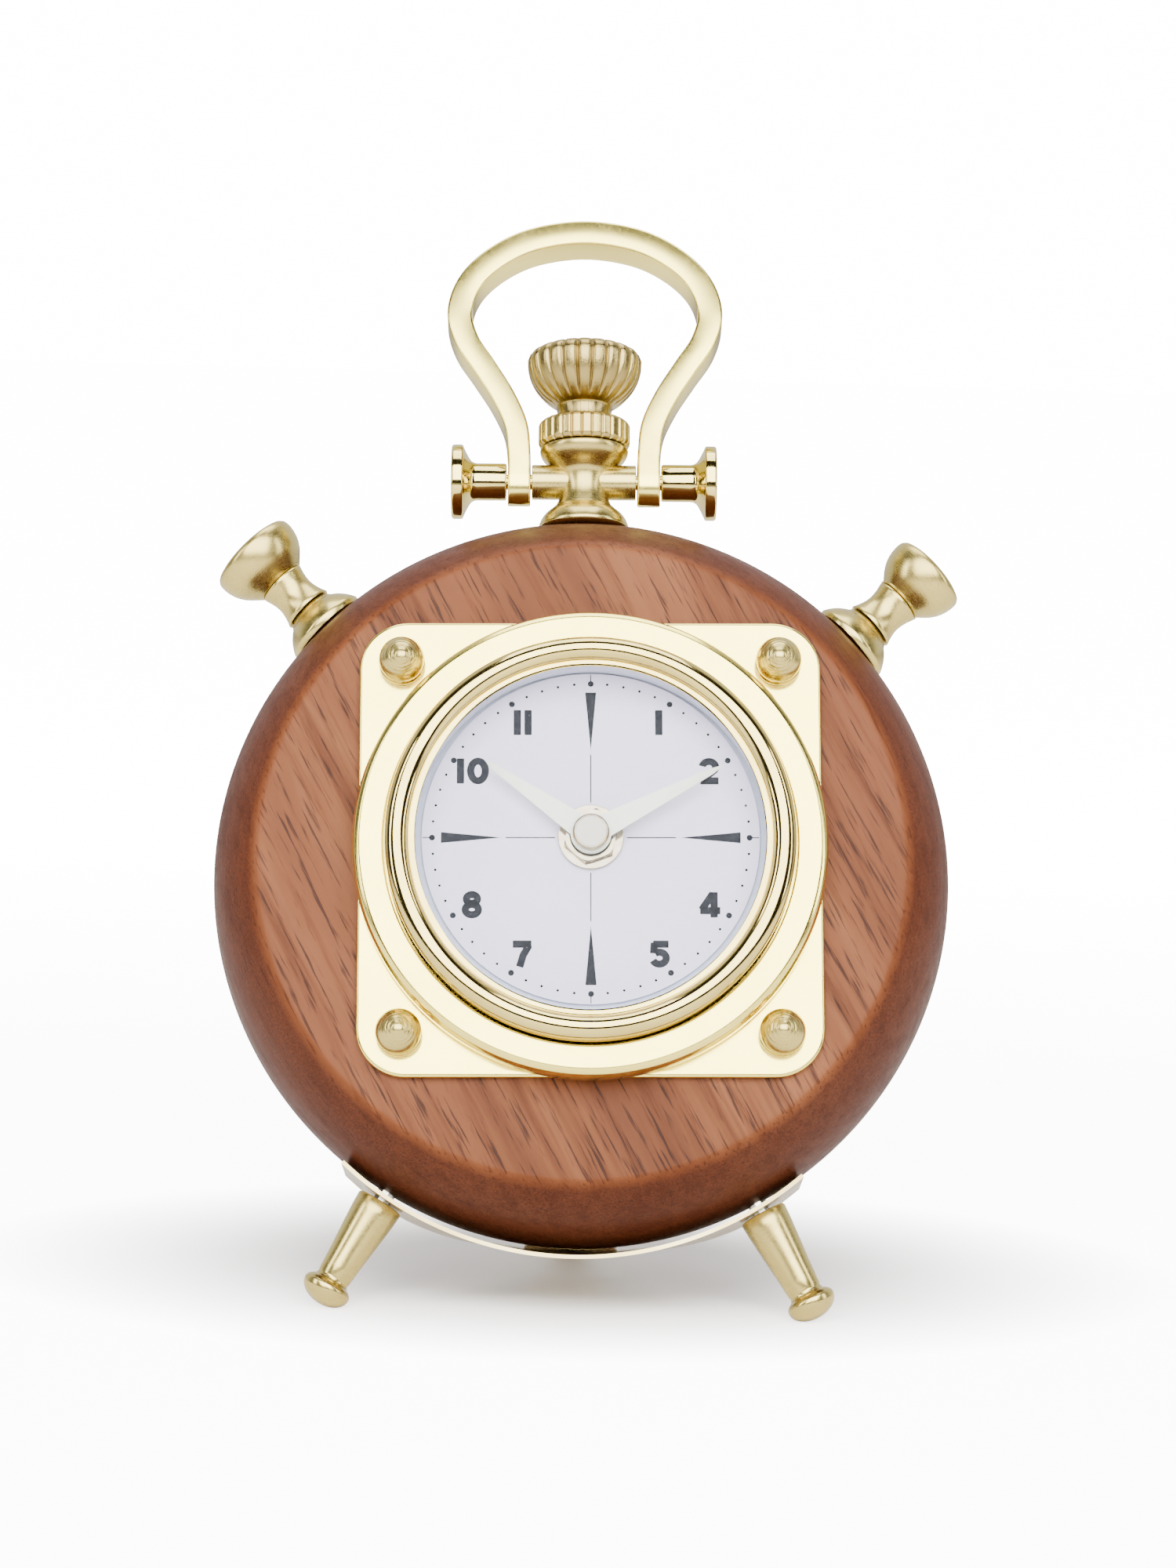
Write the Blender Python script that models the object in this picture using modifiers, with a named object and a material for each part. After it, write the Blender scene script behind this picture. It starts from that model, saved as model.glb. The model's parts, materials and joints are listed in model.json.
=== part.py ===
"""Pocket-watch style desk clock: a turned wooden disc on three turned brass legs, with a quartz movement.

Every piece is modelled in the upright frame of the wooden disc and hangs on one empty, "lean", which tips
the disc back. In the disc frame x is right, y is back and z is up, with the origin at the disc's centre.
Heights are measured forward from the disc's middle plane, along -y. The dial and bezel sit turned a little
against the legs, and so does the neck, so each of them hangs on an empty of its own.
"""

import math

import bmesh
import bpy
from mathutils import Matrix, Vector

MM = 0.001
GAP = 0.3                      # clearance between touching pieces, mm

# Driving dimensions, in mm and degrees
LEAN = 20.0                    # the disc tips back by this much
DIAL_TURN = -1.7               # the bezel and dial against the legs' axis, clockwise
NECK_TURN = -1.3               # the neck, crown and handle against the same axis
WOOD_R = 76.0                  # widest radius of the disc
FACE_R = 66.0                  # radius of its flat faces
WOOD_HALF = 23.0               # half its thickness
RECESS_R = 44.0                # round pocket in the back
PANEL_BACK = 18.0              # the pocket's floor is a thin panel let in from the front
BEZEL_X, BEZEL_Z = 1.7, 1.9    # centre of the square plate and its rings
SHAFT_X, SHAFT_Z = 1.8, 3.5    # centre of the dial, hands and movement
PLATE_SIZE, PLATE_CORNER, PLATE_T = 94.0, 10.0, 1.5
RING_R, RING_BORE_R, RING_H = 47.9, 41.6, 6.4
LENS_R, LENS_LIP_R, LENS_H = 41.2, 35.6, 12.1
DIAL_R, DIAL_T = 34.1, 0.5
SCREW_PITCH = 38.3             # dome screws stand this far from the plate's centre lines
SCREW_HEAD_R = 4.65
HOUR_LENGTH, HOUR_ANGLE = 25.7, 305.2
MINUTE_LENGTH, MINUTE_ANGLE = 29.6, 62.4
HUB_R = 4.1                    # round hub of each hand
PIVOT_Z = 86.4                 # the handle's axis
HANDLE_BACK = 8.0              # the handle rests this far behind the disc's plane
HANDLE_DEPTH, HANDLE_BAR = 8.0, 5.6
HANDLE_EYE = 4.8               # width of the bar at its eyes
HANDLE_EDGE = 0.6
LEG_INNER_X, LEG_OUTER_X = 11.3, 16.1
EYE_BORE_R = 1.95
TUBE_R = 3.7
CROWN_R, CROWN_TOP_Z, CROWN_RIM_Z, BOWL_BOTTOM_Z = 12.2, 115.7, 113.0, 103.2
THROAT_R = 5.95
KNOB_ANGLE = 46.1              # side knobs, from straight up
RIGHT_CUP = 0.9                # the right knob's cup is this much slimmer than the left one's
LEG_ANGLE = 29.8               # front legs, from straight down
LEG_BASE_R = 78.4              # where a front leg starts
LEG_TO_FOOT = 20.4             # leg base to the widest part of its foot
LEG_R, ANKLE_R = 4.95, 3.6
FOOT_R, FOOT_LOW, FOOT_HIGH = 5.1, 3.4, 2.4    # the foot is a flattened knob
FOOT_FLAT = 0.25               # depth of the small flat that each foot stands on
STRAP_DROP, STRAP_ARC_R, STRAP_T, STRAP_W = 79.4, 69.9, 0.8, 18.0
STRAP_TILT = 0.19              # its middle rises this much per unit towards the back
TILT_END_ANGLE = 36.0          # the tilt has died away here
STRAP_COLUMNS = 20             # the middle four carry the tongue
STRAP_END_ANGLE = 42.0         # half angle of the strap about its own arc centre
REAR_FLANGE_Y = 31.2           # rear face of the strap's flange, where the third leg is screwed on
REAR_LEG_Z = -62.4
FLANGE_TOP_Z = -57.0
STUD_R = 2.0
SCREW_SHANK_R = 1.7
SCREW_TIP = 8.0                # front height of the dome screws' tips

# Movement
CASE_SIZE, CASE_FRONT, CASE_REAR, CASE_WALL = 56.0, 16.1, 1.2, 1.4
BUSHING_R, BUSHING_BORE_R, BUSHING_TOP, BUSHING_HOLE_R = 4.0, 2.9, 29.2, 5.0
BATTERY_R, BATTERY_LENGTH, BATTERY_Z = 7.0, 49.0, -18.6
HOUR_PIPE_R, HOUR_PIPE_BORE_R, MINUTE_ARBOR_R = 2.5, 1.75, 1.4
MOTION_MODULE = 0.45
TRAIN_MODULE = 1.0 / 3.0
THIRD_MODULE = 17.0 / 54.0     # shares the third wheel's centre distance

# Colours: base colour, metallic, roughness
LOOKS = {
    "wood": ((0.36, 0.13, 0.055), 0.0, 0.4),
    "brass_polished": ((0.86, 0.74, 0.47), 1.0, 0.12),
    "brass_satin": ((0.80, 0.68, 0.43), 1.0, 0.3),
    "steel": ((0.62, 0.61, 0.58), 1.0, 0.3),
    "dial_white": ((0.80, 0.79, 0.86), 0.0, 0.6),
    "spacer_grey": ((0.60, 0.66, 0.75), 0.0, 0.4),
    "glass": ((0.95, 0.97, 1.0), 0.0, 0.02),
    "hand_ivory": ((0.88, 0.88, 0.84), 0.0, 0.35),
    "case_black": ((0.03, 0.03, 0.035), 0.0, 0.5),
    "gear_plastic": ((0.85, 0.85, 0.80), 0.0, 0.45),
    "board_green": ((0.05, 0.22, 0.10), 0.0, 0.5),
    "copper": ((0.72, 0.33, 0.17), 1.0, 0.35),
    "magnet": ((0.12, 0.12, 0.13), 0.6, 0.45),
    "battery_skin": ((0.10, 0.20, 0.42), 0.2, 0.35),
    "rubber": ((0.03, 0.03, 0.03), 0.0, 0.8),
}


# ---------------------------------------------------------------- scene, materials and placing

def clear_scene():
    for obj in list(bpy.data.objects):
        bpy.data.objects.remove(obj, do_unlink=True)


def new_collection(name):
    collection = bpy.data.collections.new(name)
    bpy.context.scene.collection.children.link(collection)
    return collection


def material(name):
    found = bpy.data.materials.get(name)
    if found:
        return found
    colour, metallic, roughness = LOOKS[name]
    made = bpy.data.materials.new(name)
    made.use_nodes = True
    shader = made.node_tree.nodes["Principled BSDF"]
    shader.inputs["Base Color"].default_value = (*colour, 1.0)
    shader.inputs["Metallic"].default_value = metallic
    shader.inputs["Roughness"].default_value = roughness
    return made


def empty(name, parent=None, location=(0, 0, 0), rotation=(0, 0, 0)):
    holder = bpy.data.objects.new(name, None)
    CLOCK.objects.link(holder)
    holder.parent = parent
    holder.location = Vector(location) * MM
    holder.rotation_euler = rotation
    return holder


def add_part(name, data, look, parent, location=(0, 0, 0), rotation=(0, 0, 0)):
    obj = bpy.data.objects.new(name, data)
    CLOCK.objects.link(obj)
    obj.parent = parent
    obj.location = Vector(location) * MM
    obj.rotation_euler = rotation
    data.materials.append(material(look))
    return obj


def add_cutter(name, data, parent, location=(0, 0, 0), rotation=(0, 0, 0)):
    obj = bpy.data.objects.new(name, data)
    CUTTERS.objects.link(obj)
    obj.parent = parent
    obj.location = Vector(location) * MM
    obj.rotation_euler = rotation
    obj.hide_render = True
    obj.display_type = "WIRE"
    return obj


def cut(obj, cutter, operation="DIFFERENCE"):
    boolean = obj.modifiers.new("cut_" + cutter.name, "BOOLEAN")
    boolean.operation = operation
    boolean.object = cutter
    boolean.solver = "EXACT"


# ---------------------------------------------------------------- shapes

def arc(centre_r, centre_h, radius, start, end, count):
    """Points (radius, height) along an arc; angles in degrees from the +r direction towards +h."""
    points = []
    for step in range(count + 1):
        angle = math.radians(start + (end - start) * step / count)
        points.append((centre_r + radius * math.cos(angle), centre_h + radius * math.sin(angle)))
    return points


def turn(obj, steps):
    screw = obj.modifiers.new("turn", "SCREW")
    screw.axis = "Z"
    screw.steps = steps
    screw.render_steps = steps
    screw.use_merge_vertices = True
    screw.merge_threshold = 0.00001
    screw.use_smooth_shade = True
    return obj


def profile_mesh(name, points, closed):
    mesh = bpy.data.meshes.new(name)
    builder = bmesh.new()
    corners = [builder.verts.new((r * MM, 0, h * MM)) for r, h in points]
    for first, second in zip(corners, corners[1:]):
        builder.edges.new((first, second))
    if closed:
        builder.edges.new((corners[-1], corners[0]))
    builder.to_mesh(mesh)
    builder.free()
    return mesh


def turned(name, points, look, parent, location=(0, 0, 0), rotation=(0, 0, 0), steps=20):
    """A turned piece. The points run from the top down the outer side; a profile off the axis is closed."""
    closed = points[0][0] > 0.0
    mesh = profile_mesh(name, points, closed)
    return turn(add_part(name, mesh, look, parent, location, rotation), steps)


def turned_cutter(name, radius, top, bottom, parent, location=(0, 0, 0), rotation=(0, 0, 0), steps=20):
    points = [(0, top), (radius, top), (radius, bottom), (0, bottom)]
    mesh = profile_mesh(name, points, False)
    return turn(add_cutter(name, mesh, parent, location, rotation), steps)


def block_mesh(name, size, centre=(0, 0, 0)):
    mesh = bpy.data.meshes.new(name)
    builder = bmesh.new()
    placing = Matrix.Translation(Vector(centre) * MM) @ Matrix.Diagonal((*(Vector(size) * MM), 1.0))
    bmesh.ops.create_cube(builder, size=1.0, matrix=placing)
    builder.to_mesh(mesh)
    builder.free()
    return mesh


def flat_curve(name, outlines, thickness, edge=0.0):
    """A flat piece in the local XY plane, centred on z = 0. The first outline is the outside."""
    curve = bpy.data.curves.new(name, "CURVE")
    curve.dimensions = "2D"
    curve.fill_mode = "BOTH"
    curve.extrude = (thickness / 2.0 - edge) * MM
    curve.bevel_depth = edge * MM
    curve.bevel_resolution = 0
    curve.offset = -edge * MM
    for outline in outlines:
        spline = curve.splines.new("POLY")
        spline.points.add(len(outline) - 1)
        for point, (x, y) in zip(spline.points, outline):
            point.co = (x * MM, y * MM, 0.0, 1.0)
        spline.use_cyclic_u = True
    return curve


def flat_mesh(name, outlines, thickness, edge=0.0):
    """The same flat piece as a closed mesh, for pieces that are cut afterwards."""
    holder = bpy.data.objects.new(name + "_outline", flat_curve(name, outlines, thickness, edge))
    CUTTERS.objects.link(holder)
    graph = bpy.context.evaluated_depsgraph_get()
    mesh = bpy.data.meshes.new_from_object(holder.evaluated_get(graph))
    bpy.data.objects.remove(holder, do_unlink=True)
    builder = bmesh.new()
    builder.from_mesh(mesh)
    bmesh.ops.remove_doubles(builder, verts=builder.verts, dist=0.000001)
    bmesh.ops.recalc_face_normals(builder, faces=builder.faces)
    builder.to_mesh(mesh)
    builder.free()
    mesh.materials.clear()
    return mesh


def circle(radius, count=32, x=0.0, y=0.0):
    turns = [2.0 * math.pi * step / count for step in range(count)]
    return [(x + radius * math.cos(turn), y + radius * math.sin(turn)) for turn in turns]


def rounded_square(size, corner, steps=6):
    points = []
    inner = size / 2.0 - corner
    for quarter, (sx, sy) in enumerate([(1, 1), (-1, 1), (-1, -1), (1, -1)]):
        for step in range(steps + 1):
            angle = math.radians(90.0 * (quarter + step / steps))
            points.append((sx * inner + corner * math.cos(angle), sy * inner + corner * math.sin(angle)))
    return points


def gear_outline(teeth, module, tooth_angle, mesh_on_tooth):
    """Pointed teeth around a pitch circle. A tooth, or else a gap, points along tooth_angle (degrees)."""
    pitch_r = teeth * module / 2.0
    tip_r = pitch_r + 0.45 * module
    root_r = pitch_r - 0.95 * module
    step = 2.0 * math.pi / teeth
    start = math.radians(tooth_angle) + (0.0 if mesh_on_tooth else step / 2.0)
    points = []
    for tooth in range(teeth):
        middle = start + tooth * step
        for radius, angle in ((tip_r, middle - 0.08 * step), (tip_r, middle + 0.08 * step),
                              (root_r, middle + 0.5 * step)):
            points.append((radius * math.cos(angle), radius * math.sin(angle)))
    return points


def smooth_path(points, per_span):
    """Catmull-Rom curve through the points."""
    ends = [points[0]] + list(points) + [points[-1]]
    path = []
    for index in range(1, len(ends) - 2):
        a, b, c, d = (Vector(ends[index + k]) for k in (-1, 0, 1, 2))
        for step in range(per_span):
            t = step / per_span
            path.append(0.5 * (2.0 * b + (c - a) * t + (2.0 * a - 5.0 * b + 4.0 * c - d) * t * t
                               + (3.0 * b - a - 3.0 * c + d) * t ** 3))
    path.append(Vector(points[-1]))
    return path


# ---------------------------------------------------------------- wooden disc and bezel

FACING = (math.radians(90.0), 0.0, 0.0)      # local +z points forward, out of the dial
ACROSS = (0.0, math.radians(90.0), 0.0)      # local +z points right


def on_bezel(height=0.0):
    return (BEZEL_X, -height, BEZEL_Z)


def on_shaft(height=0.0):
    return (SHAFT_X, -height, SHAFT_Z)


def rim_direction(degrees):
    """Rotation that turns local +z to point outward along the disc's rim, clockwise from straight up."""
    return (0.0, math.radians(degrees), 0.0)


def rim_point(degrees, radius):
    angle = math.radians(degrees)
    return (radius * math.sin(angle), 0.0, radius * math.cos(angle))


def corner_points():
    for sx, sz, where in ((-1, 1, "top_left"), (1, 1, "top_right"), (-1, -1, "bottom_left"),
                          (1, -1, "bottom_right")):
        yield where, BEZEL_X + sx * SCREW_PITCH, BEZEL_Z + sz * SCREW_PITCH


def make_wood(lean, face, neck_line):
    """The rim is an arc that meets both flat faces and stands out to the disc's full radius."""
    bulge = WOOD_R - FACE_R
    rim_r = (WOOD_HALF ** 2 + bulge ** 2) / (2.0 * bulge)
    half_angle = math.degrees(math.asin(WOOD_HALF / rim_r))
    rim = arc(WOOD_R - rim_r, 0.0, rim_r, half_angle, -half_angle, 8)
    profile = [(RECESS_R, WOOD_HALF)] + rim + [(RECESS_R, -WOOD_HALF)]
    wood = turned("wood_body", profile, "wood", lean, rotation=FACING, steps=44)
    deep = WOOD_R - 15.0
    cutters = [turned_cutter("neck_hole", STUD_R + GAP, 90.0, deep, neck_line, steps=10)]
    for where, x, z in corner_points():
        cutters.append(turned_cutter("screw_hole_" + where, SCREW_SHANK_R + GAP, 30.0, SCREW_TIP - 1.0, face,
                                     (x, 0, z), FACING, 10))
    for side in (-1, 1):
        cutters.append(turned_cutter("knob_hole_%d" % side, STUD_R + GAP, 90.0, deep, lean,
                                     rotation=rim_direction(side * KNOB_ANGLE), steps=10))
        cutters.append(turned_cutter("leg_hole_%d" % side, STUD_R + GAP, 90.0, deep, lean,
                                     rotation=rim_direction(180.0 - side * LEG_ANGLE), steps=10))
    for cutter in cutters:
        cut(wood, cutter)

    panel_r = RECESS_R - GAP
    panel = turned("wood_panel", [(0, WOOD_HALF), (panel_r, WOOD_HALF), (panel_r, PANEL_BACK), (0, PANEL_BACK)],
                   "wood", lean, rotation=FACING, steps=44)
    cut(panel, turned_cutter("bushing_hole", BUSHING_HOLE_R, 30.0, 10.0, face, (SHAFT_X, 0, SHAFT_Z), FACING))


def make_bezel(face):
    plate_back = WOOD_HALF + GAP
    plate_front = plate_back + PLATE_T
    outlines = [rounded_square(PLATE_SIZE, PLATE_CORNER),
                circle(BUSHING_HOLE_R, 20, SHAFT_X - BEZEL_X, SHAFT_Z - BEZEL_Z)]
    for _, x, z in corner_points():
        outlines.append(circle(SCREW_SHANK_R + GAP + 0.1, 12, x - BEZEL_X, z - BEZEL_Z))
    add_part("bezel_plate", flat_curve("bezel_plate", outlines, PLATE_T), "brass_polished", face,
             on_bezel(plate_back + PLATE_T / 2.0), FACING)

    base = plate_front + GAP
    top = base + RING_H
    ring = [(RING_BORE_R, top), (RING_R - 1.2, top), (RING_R - 0.35, top - 0.35), (RING_R, top - 1.2),
            (RING_R, base), (RING_BORE_R, base)]
    turned("bezel_ring", ring, "brass_polished", face, on_bezel(), FACING, 36)

    # The lens bezel is a half-round torus on a skirt, with a lip in front of the glass
    lens_top = base + LENS_H
    torus_r = (LENS_R - LENS_LIP_R - 0.7) / 2.0
    bulge = arc(LENS_LIP_R + 0.7 + torus_r, lens_top - torus_r, torus_r, 150.0, 0.0, 5)
    glass_front = lens_top - 2.6
    wall_r = LENS_LIP_R + 1.9
    lens = [(LENS_LIP_R, lens_top - 1.7)] + bulge
    lens += [(LENS_R, base), (wall_r, base), (wall_r, glass_front + GAP), (LENS_LIP_R, glass_front + GAP)]
    turned("lens_bezel", lens, "brass_polished", face, on_bezel(), FACING, 36)

    glass_back = glass_front - 1.4
    glass_r = wall_r - GAP
    add_part("dial_glass", flat_curve("dial_glass", [circle(glass_r, 36)], 1.4), "glass", face,
             on_bezel(glass_front - 0.7), FACING)

    hole = (SHAFT_X - BEZEL_X, SHAFT_Z - BEZEL_Z)
    backing = [circle(wall_r - GAP, 36), circle(BUSHING_R + 0.4, 20, *hole)]
    add_part("dial_backing", flat_curve("dial_backing", backing, 0.4), "spacer_grey", face,
             on_bezel(base + 0.2), FACING)
    dial_back = base + 0.4 + GAP
    spacer = [(LENS_LIP_R + 0.4, glass_back - GAP), (wall_r - GAP, glass_back - GAP),
              (wall_r - GAP, dial_back), (LENS_LIP_R + 0.4, dial_back)]
    turned("dial_spacer", spacer, "spacer_grey", face, on_bezel(), FACING, 36)
    dial = [circle(DIAL_R, 36), circle(BUSHING_R + 0.4, 20)]
    add_part("dial_face", flat_curve("dial_face", dial, DIAL_T), "dial_white", face,
             on_shaft(dial_back + DIAL_T / 2.0), FACING)

    head_back = plate_front + GAP
    shoulder = head_back + 3.3
    dome = arc(0.0, shoulder - 0.4, SCREW_HEAD_R, 90.0, 5.0, 5)
    dome[0] = (0.0, dome[0][1])
    screw = dome + [(SCREW_HEAD_R, head_back), (SCREW_SHANK_R, head_back),
                    (SCREW_SHANK_R, SCREW_TIP), (0, SCREW_TIP)]
    for where, x, z in corner_points():
        turned("dome_screw_" + where, screw, "brass_satin", face, (x, 0, z), FACING, 14)
    return dial_back + DIAL_T


# ---------------------------------------------------------------- neck, crown and handle

def make_neck(neck_line):
    base = WOOD_R + GAP
    bore = STUD_R + GAP
    web = 90.6                               # solid between the neck's two stud bores
    neck = [(0, web), (bore, web), (bore, 93.6), (9.2, 93.6), (9.4, 93.2), (9.1, 92.0), (8.7, 91.3), (7.1, 89.6),
            (5.7, 88.3), (5.05, 86.3), (4.9, 84.6), (5.1, 82.4), (5.6, 81.5), (6.7, 80.1), (7.8, 78.8), (8.5, 77.6),
            (8.6, base), (0, base)]
    neck = turned("neck", neck, "brass_satin", neck_line, steps=20)
    cut(neck, turned_cutter("neck_bottom_bore", bore, PIVOT_Z - 4.8, 70.0, neck_line, steps=10))
    cut(neck, turned_cutter("cross_bore", TUBE_R + GAP, 20.0, -20.0, neck_line, (0, 0, PIVOT_Z), ACROSS, 20))
    stud_low = WOOD_R - 14.0
    stud_high = PIVOT_Z - 5.2
    turned("neck_stud", [(0, stud_high), (STUD_R, stud_high), (STUD_R, stud_low), (0, stud_low)], "steel",
           neck_line, steps=10)

    collar = [(bore, 99.5), (9.1, 99.5), (9.7, 98.9), (9.7, 94.6), (9.2, 93.9), (bore, 93.9)]
    turned("neck_collar", collar, "brass_satin", neck_line, steps=20)
    depth = CROWN_RIM_Z - BOWL_BOTTOM_Z
    bowl = [(CROWN_R * math.sin(math.radians(a)), CROWN_RIM_Z - depth * math.cos(math.radians(a)))
            for a in (90, 72, 54, 36)]
    stud_top = 108.0
    crown = [(0, CROWN_TOP_Z), (8.0, CROWN_TOP_Z - 0.2), (11.0, CROWN_TOP_Z - 0.9), (12.0, CROWN_TOP_Z - 1.7)]
    crown += bowl
    crown += [(THROAT_R, 103.0), (THROAT_R, 99.8), (bore, 99.8), (bore, stud_top + GAP), (0, stud_top + GAP)]
    turned("crown", crown, "brass_satin", neck_line, steps=20)
    stud_low = web + GAP
    turned("crown_stud", [(0, stud_top), (STUD_R, stud_top), (STUD_R, stud_low), (0, stud_low)], "steel",
           neck_line, steps=10)

    reach = LEG_INNER_X - GAP
    tube = [(1.9, reach), (TUBE_R, reach), (TUBE_R, -reach), (1.9, -reach)]
    turned("cross_tube", tube, "brass_satin", neck_line, (0, 0, PIVOT_Z), ACROSS, 20)


def make_handle(neck_line):
    """A flat bar bent into a horseshoe, slimmer at its eyes. It swings on the two thumbscrews."""
    pivot = empty("handle_pivot", neck_line, (0, 0, PIVOT_Z), (-math.radians(HANDLE_BACK), 0, 0))
    eye_x = (LEG_INNER_X + LEG_OUTER_X) / 2.0
    half = [(eye_x, -5.2), (eye_x, 0.0), (13.8, 6.0), (14.6, 12.2), (17.4, 18.8), (21.3, 25.4), (25.3, 32.0),
            (26.8, 38.9), (24.5, 46.0), (18.8, 52.0), (10.8, 56.2), (0.0, 57.9)]
    loop = half + [(-x, z) for x, z in reversed(half[:-1])]
    path = smooth_path(loop, 3)
    outer, inner = [], []
    for index, point in enumerate(path):
        before = path[max(index - 1, 0)]
        after = path[min(index + 1, len(path) - 1)]
        along = (after - before).normalized()
        rise = min(1.0, max(0.0, point.y / half[-1][1]))
        width = HANDLE_EYE + (HANDLE_BAR - HANDLE_EYE) * rise
        side = Vector((along.y, -along.x)) * width / 2.0
        outer.append(tuple(point + side))
        inner.append(tuple(point - side))
    mesh = flat_mesh("handle", [outer + inner[::-1]], HANDLE_DEPTH, HANDLE_EDGE)
    mesh.shade_smooth()
    mesh.set_sharp_from_angle(angle=math.radians(40.0))
    handle = add_part("handle", mesh, "brass_polished", pivot, rotation=FACING)
    cut(handle, turned_cutter("eye_bore", EYE_BORE_R, 30.0, -30.0, pivot, rotation=ACROSS, steps=16))

    shank = LEG_OUTER_X + GAP
    screw = [(0, 28.0), (7.4, 28.0), (7.9, 27.6), (7.9, 25.8), (7.4, 25.3), (5.6, 24.6), (4.4, 23.9), (3.95, 23.0),
             (3.95, shank), (1.6, shank), (1.6, 4.0), (0, 4.0)]
    for name, side in (("thumbscrew_left", -1), ("thumbscrew_right", 1)):
        turned(name, screw, "brass_polished", neck_line, (0, 0, PIVOT_Z), (0.0, math.radians(90.0 * side), 0.0), 20)


# ---------------------------------------------------------------- side knobs, legs and strap

def make_side_knobs(lean):
    base = WOOD_R + GAP
    bore = STUD_R + GAP
    flange = [(bore, 81.6), (4.4, 81.6), (5.0, 81.2)] + arc(0.0, 72.8, 9.7, 56.0, 30.0, 4)
    flange += [(8.4, base + 0.5), (8.0, base), (bore, base)]
    stem = [(bore, 89.9), (5.1, 89.9), (4.55, 88.0), (4.4, 86.2), (4.7, 84.0), (5.3, 81.9), (bore, 81.9)]
    stud_top, stud_low = 95.0, WOOD_R - 14.0
    bowl = [(0, 99.8), (6.0, 99.7), (9.1, 99.3), (9.7, 98.5), (9.6, 96.9), (9.0, 95.0), (8.2, 93.6), (7.1, 92.1)]
    stud = [(0, stud_top), (STUD_R, stud_top), (STUD_R, stud_low), (0, stud_low)]
    for label, side, girth in (("left", -1, 1.0), ("right", 1, RIGHT_CUP)):
        aim = rim_direction(side * KNOB_ANGLE)
        cup = [(r * girth, h) for r, h in bowl]
        cup += [(5.2, 90.2), (bore, 90.2), (bore, stud_top + GAP), (0, stud_top + GAP)]
        turned("knob_flange_" + label, flange, "brass_satin", lean, rotation=aim, steps=20)
        turned("knob_stem_" + label, stem, "brass_satin", lean, rotation=aim, steps=20)
        turned("knob_cup_" + label, cup, "brass_satin", lean, rotation=aim, steps=18)
        turned("knob_stud_" + label, stud, "steel", lean, rotation=aim, steps=10)


def leg_profile():
    """From the foot down to the strap end; the base is at height 0."""
    bore = STUD_R + GAP
    foot = [(0.0, LEG_TO_FOOT + FOOT_LOW)]
    for degrees in (72, 54, 36, 18, 0):
        angle = math.radians(degrees)
        foot.append((FOOT_R * math.cos(angle), LEG_TO_FOOT + FOOT_LOW * math.sin(angle)))
    for degrees in (21, 42):
        angle = math.radians(degrees)
        foot.append((FOOT_R * math.cos(angle), LEG_TO_FOOT - FOOT_HIGH * math.sin(angle)))
    shaft = [(ANKLE_R, LEG_TO_FOOT - FOOT_HIGH), (4.3, 9.0), (LEG_R, 0.0)]
    return foot + shaft + [(bore, 0.0), (bore, 9.5), (0, 9.5)]


def front_foot_low():
    """How far the front feet reach below the disc's centre: an ellipsoid's lowest point on a slanted leg."""
    upright = math.cos(math.radians(LEG_ANGLE)) * math.cos(math.radians(LEAN))
    support = math.hypot(FOOT_R * math.sqrt(1.0 - upright ** 2), FOOT_LOW * upright)
    return (LEG_BASE_R + LEG_TO_FOOT) * upright + support


def rear_leg_tilt():
    """Rise of the rear leg, in degrees, that puts its foot level with the front ones."""
    lean = math.radians(LEAN)
    base_z = REAR_LEG_Z * math.cos(lean) - (REAR_FLANGE_Y + GAP) * math.sin(lean)
    drop = 0.0
    for _ in range(20):
        support = math.hypot(FOOT_R * math.cos(drop), FOOT_LOW * math.sin(drop))
        drop = math.asin((base_z + front_foot_low() - support) / LEG_TO_FOOT)
    return LEAN - math.degrees(drop)


def foot_plane_cutter(lean):
    """A slab whose top is level with the floor under all three feet."""
    floor_z = FOOT_FLAT - front_foot_low()
    level = empty("floor_level", lean, rotation=(math.radians(LEAN), 0, 0))
    slab = block_mesh("floor_slab", (140.0, 140.0, 20.0), (0, 20.0, floor_z - 10.0))
    return add_cutter("floor_slab", slab, level)


def make_legs(lean):
    floor = foot_plane_cutter(lean)
    stud_low, stud_top = WOOD_R - 12.0, LEG_BASE_R + 9.2
    for label, side in (("left", -1), ("right", 1)):
        degrees = 180.0 - side * LEG_ANGLE
        aim = rim_direction(degrees)
        leg = turned("leg_front_" + label, leg_profile(), "brass_satin", lean, rim_point(degrees, LEG_BASE_R),
                     aim, 16)
        cut(leg, floor)
        stud = [(0, stud_top), (STUD_R, stud_top), (STUD_R, stud_low), (0, stud_low)]
        turned("leg_stud_" + label, stud, "steel", lean, rotation=aim, steps=10)
    aim = (math.radians(-90.0 + rear_leg_tilt()), 0, 0)
    base = Vector((0, REAR_FLANGE_Y + GAP, REAR_LEG_Z))
    cut(turned("leg_rear", leg_profile(), "brass_satin", lean, base, aim, 16), floor)
    shank_r, head_r = STUD_R - 0.3, 2.9
    head_top = -STRAP_T - 2 * GAP
    screw = [(0, 5.6), (shank_r, 5.6), (shank_r, head_top), (head_r, head_top), (head_r, head_top - 1.5),
             (0, head_top - 1.5)]
    turned("leg_rear_screw", screw, "steel", lean, base, aim, 14)


def flange_y(z):
    """The rear flange stands square to the rear leg."""
    return REAR_FLANGE_Y - (z - REAR_LEG_Z) * math.tan(math.radians(rear_leg_tilt()))


def tongue_z():
    """The tongue leaves the strap's rear edge level, so it climbs in the leaning frame."""
    run = REAR_FLANGE_Y - STRAP_W / 2.0
    return STRAP_TILT * STRAP_W - STRAP_DROP + run * math.tan(math.radians(LEAN))


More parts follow.
